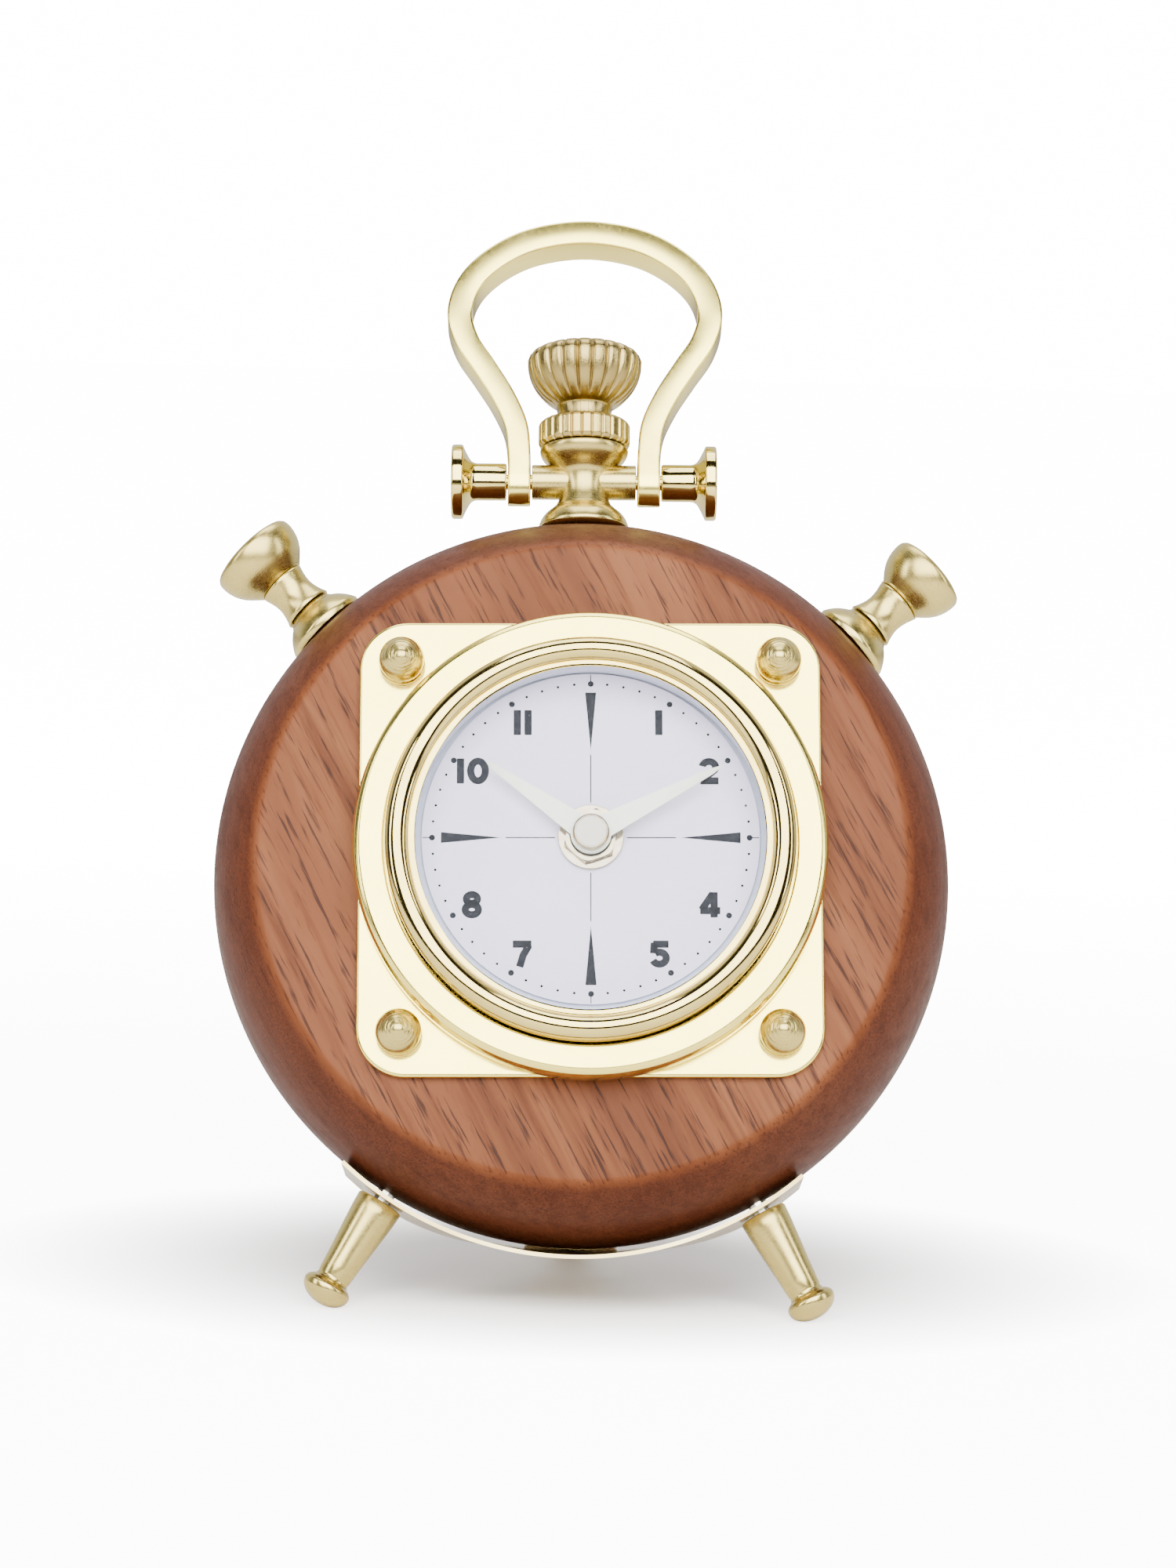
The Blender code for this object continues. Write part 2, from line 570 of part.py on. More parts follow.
def make_strap(lean):
    """Thin strip bent round the disc's underside. Its level tongue runs back and turns up into a flange."""
    centre_z = STRAP_ARC_R - STRAP_DROP
    builder = bmesh.new()
    bmesh.ops.create_grid(builder, x_segments=STRAP_COLUMNS, y_segments=1, size=1.0)
    step = 2.0 / STRAP_COLUMNS
    rear_edges = [edge for edge in builder.edges
                  if all(v.co.y > 0.9 and abs(v.co.x) < 2.5 * step for v in edge.verts)]
    tongue = bmesh.ops.extrude_edge_only(builder, edges=rear_edges)["geom"]
    tongue_verts = [item for item in tongue if isinstance(item, bmesh.types.BMVert)]
    tongue_edges = [item for item in tongue if isinstance(item, bmesh.types.BMEdge)
                    and all(v in tongue_verts for v in item.verts)]
    flange = bmesh.ops.extrude_edge_only(builder, edges=tongue_edges)["geom"]
    flange_verts = [item for item in flange if isinstance(item, bmesh.types.BMVert)]
    for vert in builder.verts:
        angle = math.radians(vert.co.x * STRAP_END_ANGLE)
        x = STRAP_ARC_R * math.sin(angle)
        z = centre_z - STRAP_ARC_R * math.cos(angle)
        y = vert.co.y * STRAP_W / 2.0
        share = math.cos(math.radians(90.0) * min(1.0, abs(vert.co.x) * STRAP_END_ANGLE / TILT_END_ANGLE)) ** 2
        z += STRAP_TILT * (y + STRAP_W / 2.0) * share
        if vert in tongue_verts:
            z = tongue_z()
            y = flange_y(z)
        if vert in flange_verts:
            y, z = flange_y(FLANGE_TOP_Z), FLANGE_TOP_Z
        vert.co = Vector((x, y, z)) * MM
    bmesh.ops.recalc_face_normals(builder, faces=builder.faces)
    mesh = bpy.data.meshes.new("foot_strap")
    builder.to_mesh(mesh)
    builder.free()
    strap = add_part("foot_strap", mesh, "brass_satin", lean)
    thick = strap.modifiers.new("sheet", "SOLIDIFY")
    thick.thickness = STRAP_T * MM
    thick.offset = -1.0
    thick.use_even_offset = True
    for side in (-1, 1):
        cutter = turned_cutter("strap_hole_%d" % side, STUD_R + GAP, 90.0, 72.0, lean,
                               rotation=rim_direction(180.0 - side * LEG_ANGLE), steps=10)
        cut(strap, cutter)
    backward = (math.radians(-90.0 + rear_leg_tilt()), 0, 0)
    flange_middle = (0, REAR_FLANGE_Y, REAR_LEG_Z)
    cut(strap, turned_cutter("flange_hole", STUD_R, 6.0, -6.0, lean, flange_middle, backward, 12))


# ---------------------------------------------------------------- hands and movement

def hand_outline(length, hub_r, tip_half):
    """A lance: a round hub, then straight edges that close on a rounded tip along +y."""
    points = circle_arc(hub_r, 130.0, 410.0, 12)
    points += [(x, y + length - tip_half) for x, y in circle_arc(tip_half, 0.0, 180.0, 4)]
    return points


def circle_arc(radius, start, end, count):
    turns = [math.radians(start + (end - start) * step / count) for step in range(count + 1)]
    return [(radius * math.cos(turn), radius * math.sin(turn)) for turn in turns]


def make_hands(face, dial_front):
    washer_h = dial_front + GAP
    washer = [(BUSHING_R + 0.4, washer_h + 0.5), (6.6, washer_h + 0.5), (6.6, washer_h), (BUSHING_R + 0.4, washer_h)]
    turned("dial_washer", washer, "brass_polished", face, on_shaft(), FACING, 28)
    nut_h = washer_h + 0.5 + GAP
    corner_r = 9.9 / 2.0 / math.cos(math.radians(30.0))
    hexagon = [(corner_r * math.cos(math.radians(a)), corner_r * math.sin(math.radians(a)))
               for a in range(19, 379, 60)]
    nut = flat_curve("hex_nut", [hexagon, circle(BUSHING_R + 0.35, 20)], 1.5)
    add_part("hex_nut", nut, "brass_polished", face, on_shaft(nut_h + 0.75), FACING)

    hour_spin = empty("hour_axis", face, on_shaft(), FACING)
    minute_spin = empty("minute_axis", face, on_shaft(), FACING)
    hour_h = BUSHING_TOP + 0.4
    minute_h = hour_h + 1.0
    hour = flat_curve("hour_hand", [hand_outline(HOUR_LENGTH, HUB_R, 0.5), circle(HOUR_PIPE_R + GAP, 16)], 0.5)
    add_part("hour_hand", hour, "hand_ivory", hour_spin, (0, 0, hour_h + 0.25),
             (0, 0, -math.radians(HOUR_ANGLE)))
    minute = flat_curve("minute_hand", [hand_outline(MINUTE_LENGTH, HUB_R, 0.5),
                                        circle(MINUTE_ARBOR_R + GAP, 16)], 0.5)
    add_part("minute_hand", minute, "hand_ivory", minute_spin, (0, 0, minute_h + 0.25),
             (0, 0, -math.radians(MINUTE_ANGLE)))
    cap_h = minute_h + 0.5 + GAP
    cap = [(0, cap_h + 1.1), (3.4, cap_h + 1.1), (3.7, cap_h + 0.8), (3.7, cap_h), (0, cap_h)]
    turned("hand_cap", cap, "hand_ivory", minute_spin, steps=18)
    return cap_h - GAP


def make_gear(name, parent, location, sections, look, bore=None):
    """A wheel and its pinion on one arbor: sections of (outline or radius, low, high), joined into one body."""
    builder = bmesh.new()
    for shape, low, high in sections:
        ring = shape if isinstance(shape, list) else circle(shape, 16)
        lower = [builder.verts.new((x * MM, y * MM, low * MM)) for x, y in ring]
        face = builder.faces.new(lower[::-1])
        grown = bmesh.ops.extrude_face_region(builder, geom=[face])["geom"]
        moved = [item for item in grown if isinstance(item, bmesh.types.BMVert)]
        bmesh.ops.translate(builder, verts=moved, vec=(0, 0, (high - low) * MM))
    bmesh.ops.recalc_face_normals(builder, faces=builder.faces)
    mesh = bpy.data.meshes.new(name)
    builder.to_mesh(mesh)
    builder.free()
    gear = add_part(name, mesh, look, parent, location)
    joined = gear.modifiers.new("join", "BOOLEAN")
    joined.operation = "UNION"
    joined.solver = "EXACT"
    joined.use_self = True
    joined.object = add_cutter(name + "_core", block_mesh(name + "_core", (0.9, 0.9, 0.9)), parent,
                               (location[0], location[1], (sections[0][1] + sections[0][2]) / 2.0))
    if bore:
        hole = turned_cutter(name + "_bore", bore, 40.0, -40.0, parent, location, steps=16)
        cut(gear, hole)
    return gear


def make_movement(face, arbor_top):
    """Quartz movement. Its own frame has z forward (the same heights as the disc) and y up."""
    frame = empty("movement_frame", face, on_shaft(), FACING)
    middle = (CASE_FRONT + CASE_REAR) / 2.0
    depth = CASE_FRONT - CASE_REAR
    case = add_part("movement_case", block_mesh("movement_case", (CASE_SIZE, CASE_SIZE, depth), (0, 0, middle)),
                    "case_black", frame)
    cut(case, turned_cutter("bushing_body", BUSHING_R, BUSHING_TOP, CASE_FRONT - 1.0, frame, steps=18), "UNION")
    inside = CASE_SIZE - 2 * CASE_WALL
    bay_top = BATTERY_Z + BATTERY_R + 0.5
    train_floor = CASE_FRONT - CASE_WALL
    train_low = bay_top + CASE_WALL
    train_size = (inside, inside / 2.0 - train_low, train_floor)
    train = block_mesh("train_space", train_size, (0, (inside / 2.0 + train_low) / 2.0, train_floor / 2.0))
    cut(case, add_cutter("train_space", train, frame))
    bay_size = (inside, bay_top + inside / 2.0, train_floor + 0.4)
    bay = block_mesh("battery_space", bay_size, (0, (bay_top - inside / 2.0) / 2.0, (train_floor + 0.4) / 2.0))
    cut(case, add_cutter("battery_space", bay, frame))
    cut(case, turned_cutter("bushing_bore", BUSHING_BORE_R, 40.0, 10.0, frame, steps=20))

    cover_low = bay_top + 0.2
    cover_height = CASE_SIZE / 2.0 - cover_low
    motion_x, motion_y = MOTION_CENTRE
    cover = flat_curve("movement_cover", [
        [(-28, cover_low), (28, cover_low), (28, cover_low + cover_height), (-28, cover_low + cover_height)],
        circle(1.7, 14, motion_x, motion_y)], 1.3, 0.2)
    add_part("movement_cover", cover, "case_black", frame, (0, 0, CASE_REAR - GAP - 0.65))

    bay_middle = CASE_REAR + 6.5
    battery = [(0, 25.0), (2.6, 25.0), (2.6, 24.1), (6.6, 24.1), (BATTERY_R, 23.6), (BATTERY_R, -24.0),
               (6.4, -24.5), (0, -24.5)]
    turned("battery", battery, "battery_skin", frame, (0, BATTERY_Z, bay_middle), ACROSS, 24)
    for label, x in (("plus", inside / 2.0 - 0.6), ("minus", -inside / 2.0 + 0.6)):
        contact = block_mesh("contact_" + label, (0.4, 10.0, 11.0), (x, BATTERY_Z, bay_middle))
        add_part("battery_contact_" + label, contact, "steel", frame)

    washer = [(5.2, 17.5), (9.0, 17.5), (9.0, CASE_FRONT + GAP), (5.2, CASE_FRONT + GAP)]
    turned("rubber_washer", washer, "rubber", frame, steps=18)
    make_train(frame, arbor_top)


def centre_distance(teeth_a, teeth_b, module):
    return (teeth_a + teeth_b) * module / 2.0


def bearing(a, b):
    """Direction from centre a to centre b, in degrees."""
    return math.degrees(math.atan2(b[1] - a[1], b[0] - a[0]))


def polar(centre, distance, degrees):
    angle = math.radians(degrees)
    return (centre[0] + distance * math.cos(angle), centre[1] + distance * math.sin(angle))


SHAFT = (0.0, 0.0)
MOTION_CENTRE = polar(SHAFT, centre_distance(10, 30, MOTION_MODULE), 160.0)
THIRD_CENTRE = polar(SHAFT, centre_distance(6, 45, TRAIN_MODULE), 20.0)
INTER_CENTRE = polar(SHAFT, centre_distance(45, 9, TRAIN_MODULE), 95.0)
ROTOR_CENTRE = polar(INTER_CENTRE, centre_distance(36, 6, TRAIN_MODULE), 150.0)


def wheel_pair(name, frame, centre, wheel, pinion, extra=(), look="gear_plastic", bore=None):
    """wheel and pinion are (teeth, module, towards centre, tooth there?, low, high)."""
    sections = []
    for teeth, module, towards, on_tooth, low, high in filter(None, (wheel, pinion)):
        sections.append((gear_outline(teeth, module, bearing(centre, towards), on_tooth), low, high))
    sections += list(extra)
    return make_gear(name, frame, (centre[0], centre[1], 0), sections, look, bore)


def make_train(frame, arbor_top):
    """Going train at heights 2.5 to 10, motion work at 10.5 to 14.4, all in mesh at rest."""
    steel_end = 0.6
    wheel_pair("seconds_wheel", frame, SHAFT, (45, TRAIN_MODULE, INTER_CENTRE, True, 2.6, 3.4),
               (6, TRAIN_MODULE, THIRD_CENTRE, True, 3.3, 5.6), [(steel_end, 1.7, 6.2)])
    wheel_pair("third_wheel", frame, THIRD_CENTRE, (45, TRAIN_MODULE, SHAFT, False, 4.3, 5.1),
               (6, THIRD_MODULE, SHAFT, True, 5.0, 8.4), [(steel_end, 1.7, 9.6)])
    wheel_pair("centre_wheel", frame, SHAFT, (48, THIRD_MODULE, THIRD_CENTRE, False, 7.0, 7.8), None,
               [(2.2, 6.6, 9.0)], bore=MINUTE_ARBOR_R + 0.1)
    wheel_pair("intermediate_wheel", frame, INTER_CENTRE, (36, TRAIN_MODULE, ROTOR_CENTRE, False, 5.8, 6.5),
               (9, TRAIN_MODULE, SHAFT, False, 2.4, 5.9), [(steel_end, 1.7, 8.2)])
    wheel_pair("rotor", frame, ROTOR_CENTRE, None, (6, TRAIN_MODULE, INTER_CENTRE, True, 5.2, 8.0),
               [(2.9, 7.7, 10.2), (0.5, 1.7, 12.0)], "magnet")
    wheel_pair("minute_arbor", frame, SHAFT, None, (10, MOTION_MODULE, MOTION_CENTRE, True, 10.6, 12.4),
               [(MINUTE_ARBOR_R, 6.9, arbor_top)], "steel")
    wheel_pair("motion_wheel", frame, MOTION_CENTRE, (30, MOTION_MODULE, SHAFT, False, 11.0, 11.9),
               (8, MOTION_MODULE, SHAFT, True, 11.8, 14.3), [(0.9, -1.0, 14.3)])
    wheel_pair("hour_wheel", frame, SHAFT, (32, MOTION_MODULE, MOTION_CENTRE, False, 13.0, 13.9), None,
               [(HOUR_PIPE_R, 13.5, BUSHING_TOP + 0.9)], bore=HOUR_PIPE_BORE_R)
    motion_x, motion_y = MOTION_CENTRE
    knob = [(1.2, -1.9), (4.6, -1.9), (5.0, -2.3), (5.0, -5.2), (4.6, -5.6), (1.2, -5.6)]
    turned("setting_knob", knob, "case_black", frame, (motion_x, motion_y, 0), steps=18)
    spindle = bpy.data.objects["motion_wheel"]
    shaft = turned_cutter("setting_spindle", 0.9, 0.0, -5.4, frame, (motion_x, motion_y, 0), steps=16)
    cut(spindle, shaft, "UNION")

    stator_outline = [(-9.0, -4.6), (9.0, -4.6), (9.0, 4.6), (-9.0, 4.6)]
    stator = flat_curve("stator", [stator_outline, circle(3.4, 20)], 0.9)
    add_part("stator", stator, "steel", frame, (*ROTOR_CENTRE, 9.0))
    coil = [(0, 12.0), (4.2, 12.0), (4.2, 11.0), (3.4, 11.0), (3.4, -11.0), (4.2, -11.0), (4.2, -12.0), (0, -12.0)]
    turned("coil", coil, "copper", frame, (10.0, 21.5, 9.0), ACROSS, 20)
    board = block_mesh("circuit_board", (20.0, 10.0, 0.8))
    add_part("circuit_board", board, "board_green", frame, (10.0, 21.0, 3.6))


def to_bottom_centre(lean):
    """Stand the feet on z = 0 and centre the whole clock on the origin."""
    graph = bpy.context.evaluated_depsgraph_get()
    low = Vector((1e9, 1e9, 1e9))
    high = -low
    for obj in CLOCK.objects:
        if obj.type == "EMPTY":
            continue
        solid = obj.evaluated_get(graph)
        mesh = solid.to_mesh()
        for vert in mesh.vertices:
            place = solid.matrix_world @ vert.co
            low = Vector(map(min, low, place))
            high = Vector(map(max, high, place))
        solid.to_mesh_clear()
    lean.location = -Vector(((low.x + high.x) / 2.0, (low.y + high.y) / 2.0, low.z))


def main():
    lean = empty("lean", rotation=(-math.radians(LEAN), 0, 0))
    face = empty("dial_line", lean, rotation=rim_direction(DIAL_TURN))
    neck_line = empty("neck_line", lean, rotation=rim_direction(NECK_TURN))
    make_wood(lean, face, neck_line)
    dial_front = make_bezel(face)
    make_neck(neck_line)
    make_handle(neck_line)
    make_side_knobs(lean)
    make_legs(lean)
    make_strap(lean)
    arbor_top = make_hands(face, dial_front)
    make_movement(face, arbor_top)
    to_bottom_centre(lean)


clear_scene()
CLOCK = new_collection("desk_clock")
CUTTERS = new_collection("cutters")
main()
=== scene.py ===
"""Looks of the desk clock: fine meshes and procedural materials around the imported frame, in metres.

The clock's parts are described in the upright frame of its wooden disc, in millimetres: x right, y back,
z up, with the origin at the disc's centre. DISC turns that frame into the row's. "Height" means distance
forward of the disc's middle plane.
"""

import json
import math

import bmesh
import bpy
from mathutils import Euler, Matrix, Vector

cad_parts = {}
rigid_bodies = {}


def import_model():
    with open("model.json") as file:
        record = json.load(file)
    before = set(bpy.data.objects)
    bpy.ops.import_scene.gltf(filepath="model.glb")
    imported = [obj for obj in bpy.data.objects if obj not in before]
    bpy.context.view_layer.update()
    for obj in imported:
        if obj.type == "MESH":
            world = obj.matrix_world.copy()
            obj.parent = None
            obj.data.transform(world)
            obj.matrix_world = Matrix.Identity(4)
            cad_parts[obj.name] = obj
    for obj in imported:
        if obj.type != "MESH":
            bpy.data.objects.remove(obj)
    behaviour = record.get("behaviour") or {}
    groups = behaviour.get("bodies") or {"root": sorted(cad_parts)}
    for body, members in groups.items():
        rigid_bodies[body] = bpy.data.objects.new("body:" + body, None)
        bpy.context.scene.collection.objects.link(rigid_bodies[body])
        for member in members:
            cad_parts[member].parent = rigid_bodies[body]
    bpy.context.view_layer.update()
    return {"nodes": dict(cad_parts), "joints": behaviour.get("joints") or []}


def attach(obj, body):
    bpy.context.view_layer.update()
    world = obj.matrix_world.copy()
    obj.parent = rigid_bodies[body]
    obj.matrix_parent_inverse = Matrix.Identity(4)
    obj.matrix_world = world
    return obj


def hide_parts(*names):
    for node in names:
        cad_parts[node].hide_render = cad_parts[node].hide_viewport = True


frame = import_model()

MM = 0.001
GAP = 0.3

# ---------------------------------------------------------------- the clock's driving sizes, as in the CAD
LEAN = 20.0
DIAL_TURN, NECK_TURN = -1.7, -1.3
PIVOT_Z = 86.4
WOOD_R, FACE_R, WOOD_HALF = 76.0, 66.0, 23.0
RECESS_R, RECESS_FLOOR = 44.0, 18.0
BEZEL_X, BEZEL_Z = 1.7, 1.9
SHAFT_X, SHAFT_Z = 1.8, 3.5
PLATE_SIZE, PLATE_CORNER, PLATE_T = 94.0, 10.0, 1.5
PLATE_BACK = WOOD_HALF + GAP
PLATE_FRONT = PLATE_BACK + PLATE_T
BASE = PLATE_FRONT + GAP               # everything on the plate starts here
RING_R, RING_BORE_R, RING_H = 47.9, 41.6, 6.4
LENS_R, LIP_R, LENS_H = 41.2, 35.6, 12.1
LENS_TOP = BASE + LENS_H
GLASS_FRONT = LENS_TOP - 2.6
GLASS_T = 1.4
WALL_R = LIP_R + 1.9
DIAL_R, DIAL_T = 34.1, 0.5
DIAL_BACK = BASE + 0.4 + GAP
DIAL_FRONT = DIAL_BACK + DIAL_T
SCREW_PITCH, SCREW_HEAD_R = 38.3, 4.65
BUSHING_TOP = 29.2
HOUR_LENGTH, HOUR_ANGLE = 25.7, 305.2
MINUTE_LENGTH, MINUTE_ANGLE = 29.6, 62.4
HUB_R = 4.1
HANDLE_BACK, HANDLE_DEPTH, HANDLE_EYE, HANDLE_BAR = 8.0, 8.0, 4.8, 5.6
LEG_INNER_X, LEG_OUTER_X = 11.3, 16.1
CROWN_R, CROWN_TOP_Z, CROWN_RIM_Z, BOWL_BOTTOM_Z = 12.2, 115.7, 113.0, 103.2
KNOB_ANGLE, LEG_ANGLE, RIGHT_CUP = 46.1, 29.8, 0.9
LEG_BASE_R, LEG_TO_FOOT, FOOT_R, FOOT_LOW, FOOT_HIGH = 78.4, 20.4, 5.1, 3.4, 2.4
STRAP_DROP, STRAP_ARC_R, STRAP_T, STRAP_W, STRAP_END_ANGLE = 79.4, 69.9, 0.8, 18.0, 42.0
STRAP_TILT, TILT_END_ANGLE = 0.19, 36.0
REAR_FLANGE_Y, REAR_LEG_Z, FLANGE_TOP_Z = 31.2, -62.4, -57.0
BATTERY_R, BATTERY_Z = 7.0, -18.6
CASE_REAR = 1.2

# ---------------------------------------------------------------- camera
CAMERA_DISTANCE = 0.9
CAMERA_ELEVATION = 6.7
CAMERA_ROLL = 1.7
AIM_ABOVE, AIM_RIGHT = 0.0203, 0.0008
LENS_LENGTH = 99.7


def disc_matrix():
    pivot = next(joint for joint in frame["joints"] if joint["name"] == "handle_swing")["pos_m"]
    turn = Matrix.Rotation(-math.radians(LEAN), 4, "X")
    neck_line = Matrix.Rotation(math.radians(NECK_TURN), 4, "Y")
    lift = Vector(pivot) - turn @ neck_line @ Vector((0.0, 0.0, PIVOT_Z * MM))
    return Matrix.Translation(lift) @ turn


DISC = disc_matrix()
FACING = (math.radians(90.0), 0.0, 0.0)
ACROSS = (0.0, math.radians(90.0), 0.0)


def rim(degrees):
    """Rotation that aims local +z outward along the disc's rim, clockwise from straight up."""
    return (0.0, math.radians(degrees), 0.0)


def rim_point(degrees, radius):
    return (radius * math.sin(math.radians(degrees)), 0.0, radius * math.cos(math.radians(degrees)))


# ---------------------------------------------------------------- node helpers

class Shader:
    """A material's node tree, with short calls for the nodes used here."""

    def __init__(self, name):
        self.material = bpy.data.materials.new(name)
        self.material.use_nodes = True
        self.tree = self.material.node_tree
        self.out = self.tree.nodes["Principled BSDF"]
        self.place = self.node("ShaderNodeTexCoord").outputs["Object"]

    def node(self, kind, **settings):
        made = self.tree.nodes.new(kind)
        for key, value in settings.items():
            setattr(made, key, value)
        return made

    def feed(self, socket, value):
        if isinstance(value, bpy.types.NodeSocket):
            self.tree.links.new(value, socket)
        else:
            socket.default_value = value

    def set(self, **values):
        for key, value in values.items():
            self.feed(self.out.inputs[key.replace("_", " ")], value)

    def maths(self, operation, a, b=0.0, clamp=False):
        made = self.node("ShaderNodeMath", operation=operation, use_clamp=clamp)
        self.feed(made.inputs[0], a)
        self.feed(made.inputs[1], b)
        return made.outputs[0]

    def scaled(self, vector, scale=(1, 1, 1), rotation=(0, 0, 0)):
        made = self.node("ShaderNodeMapping")
        self.feed(made.inputs["Vector"], vector)
        made.inputs["Scale"].default_value = scale
        made.inputs["Rotation"].default_value = rotation
        return made.outputs[0]

    def noise(self, vector, scale, detail=2.0, roughness=0.5, distortion=0.0):
        made = self.node("ShaderNodeTexNoise")
        self.feed(made.inputs["Vector"], vector)
        made.inputs["Scale"].default_value = scale
        made.inputs["Detail"].default_value = detail
        made.inputs["Roughness"].default_value = roughness
        made.inputs["Distortion"].default_value = distortion
        return made.outputs["Fac"]

    def ramp(self, value, stops):
        made = self.node("ShaderNodeValToRGB")
        self.feed(made.inputs[0], value)
        points = made.color_ramp.elements
        while len(points) < len(stops):
            points.new(0.5)
        for point, (place, colour) in zip(points, stops):
            point.position = place
            point.color = (*colour, 1.0) if isinstance(colour, tuple) else (colour, colour, colour, 1.0)
        return made.outputs[0]

    def span(self, value, low, high, to_low=0.0, to_high=1.0):
        made = self.node("ShaderNodeMapRange")
        for socket, number in zip(made.inputs, (value, low, high, to_low, to_high)):
            self.feed(socket, number)
        return made.outputs[0]

    def mix(self, factor, first, second, blend="MIX"):
        made = self.node("ShaderNodeMix", data_type="RGBA", blend_type=blend)
        self.feed(made.inputs[0], factor)
        for socket, colour in ((made.inputs[6], first), (made.inputs[7], second)):
            self.feed(socket, (*colour, 1.0) if isinstance(colour, tuple) else colour)
        return made.outputs[2]

    def split(self, vector):
        made = self.node("ShaderNodeSeparateXYZ")
        self.feed(made.inputs[0], vector)
        return made.outputs

    def bump(self, height, distance, strength=1.0, under=None):
        made = self.node("ShaderNodeBump")
        made.inputs["Distance"].default_value = distance
        made.inputs["Strength"].default_value = strength
        self.feed(made.inputs["Height"], height)
        if under:
            self.feed(made.inputs["Normal"], under)
        return made.outputs[0]

    def radius(self, first, second):
        squares = self.maths("ADD", self.maths("MULTIPLY", first, first),
                             self.maths("MULTIPLY", second, second))
        return self.maths("SQRT", squares)


# ---------------------------------------------------------------- materials

def wood_material():
    """Oiled hardwood: long grain runs down to the right across the face; the rim is darker, and a painted
    highlight runs along the crease between face and rim.
    """
    s = Shader("wood_oiled")
    grain = s.scaled(s.place, rotation=(0.0, math.radians(-61.0), 0.0))
    drift = s.noise(s.place, 14.0, 2.0)
    figure = s.noise(s.scaled(grain, (5.0, 46.0, 46.0)), 1.0, 4.0, 0.55, 0.7)
    streaks = s.noise(s.scaled(grain, (16.0, 330.0, 330.0)), 1.0, 4.0, 0.6, 0.25)
    pores = s.noise(s.scaled(grain, (95.0, 1500.0, 1500.0)), 1.0, 2.0, 0.5)
    specks = s.noise(s.place, 2600.0, 2.0, 0.6)
    x, _, z = s.split(s.place)
    far = s.radius(x, z)
    on_rim = s.span(far, (FACE_R - 0.6) * MM, (FACE_R + 1.6) * MM)
    tone = s.ramp(figure, [(0.30, (0.080, 0.023, 0.0080)), (0.50, (0.142, 0.046, 0.0165)),
                           (0.68, (0.205, 0.076, 0.0300))])
    tone = s.mix(s.span(drift, 0.35, 0.7, 0.0, 0.45), tone, (0.185, 0.064, 0.028))
    tone = s.mix(s.span(streaks, 0.50, 0.70, 0.0, 0.60), tone, (0.052, 0.013, 0.005))
    tone = s.mix(s.span(pores, 0.56, 0.68, 0.0, 0.80), tone, (0.018, 0.007, 0.005))
    rim_tone = s.mix(s.span(specks, 0.35, 0.70), (0.036, 0.0080, 0.0030), (0.086, 0.0215, 0.0082))
    rim_tone = s.mix(s.span(streaks, 0.35, 0.75, 0.0, 0.5), rim_tone, (0.030, 0.0065, 0.0025))
    colour = s.mix(s.maths("MULTIPLY", on_rim, 0.86), tone, rim_tone)
    # painted highlight: a lit orange band along the crease between the flat face and the rim, all round the
    # disc
    edge = s.maths("SUBTRACT", s.span(far, (FACE_R - 1.6) * MM, (FACE_R + 0.3) * MM),
                   s.span(far, (FACE_R + 0.3) * MM, (FACE_R + 1.8) * MM))
    colour = s.mix(s.maths("MULTIPLY", edge, 0.35, True), colour, (0.115, 0.030, 0.008))
    rough = s.span(streaks, 0.3, 0.7, 0.40, 0.52)
    dents = s.maths("ADD", s.maths("MULTIPLY", s.span(pores, 0.55, 0.70), -1.0),
                    s.maths("MULTIPLY", specks, 0.25))
    s.set(Base_Color=colour, Roughness=rough, Normal=s.bump(dents, 0.00006, 0.55))
    s.set(Specular_IOR_Level=0.08, Coat_Weight=0.06, Coat_Roughness=0.28, Coat_IOR=1.3)
    return s.material


def brass_material(name, base, shade, rough, turned=0.0, ripple=0.0, grit=0.0, flutes=0):
    """Pale brass. turned: lathe lines round local z. ripple: hand-polished waviness. grit: cast grain.
    flutes: painted shade in the valleys of that many flutes round local z.
    """
    s = Shader(name)
    x, y, z = s.split(s.place)
    smudge = s.noise(s.place, 55.0, 3.0, 0.55)
    fine = s.noise(s.place, 900.0, 3.0, 0.6)
    colour = s.mix(s.span(smudge, 0.35, 0.75), base, shade)
    colour = s.mix(s.span(fine, 0.62, 0.80, 0.0, 0.25), colour, (0.50, 0.34, 0.07))
    roughness = s.maths("ADD", s.span(smudge, 0.3, 0.7, rough * 0.8, rough * 1.25),
                        s.span(fine, 0.5, 0.8, 0.0, 0.05))
    normal = s.bump(s.noise(s.place, 60.0, 2.0), 0.0004, ripple) if ripple else None
    if turned:
        line = s.node("ShaderNodeCombineXYZ")
        s.feed(line.inputs[0], s.radius(x, y))
        s.feed(line.inputs[2], z)
        lines = s.noise(line.outputs[0], 5200.0, 3.0, 0.7)
        normal = s.bump(lines, 0.00003, turned, normal)
        roughness = s.maths("ADD", roughness, s.span(lines, 0.4, 0.8, 0.0, 0.08))
    if grit:
        grains = s.noise(s.place, 2300.0, 4.0, 0.7)
        normal = s.bump(grains, 0.00009, grit, normal)
        colour = s.mix(s.span(grains, 0.58, 0.75, 0.0, 0.5), colour, (0.36, 0.25, 0.06))
    if flutes:
        # painted shade: the colour darkens in each flute valley, where the grooves of the crown and collar
        # fall into shade
        angle = s.maths("MULTIPLY", s.maths("ARCTAN2", y, x), flutes / 2.0)
        flute_shade = s.maths("ABSOLUTE", s.maths("SINE", angle))
        colour = s.mix(s.span(flute_shade, 0.22, 0.0, 0.0, 0.85), colour, (0.14, 0.09, 0.03))
    s.set(Base_Color=colour, Metallic=1.0, Roughness=roughness)
    if normal:
        s.set(Normal=normal)
    return s.material


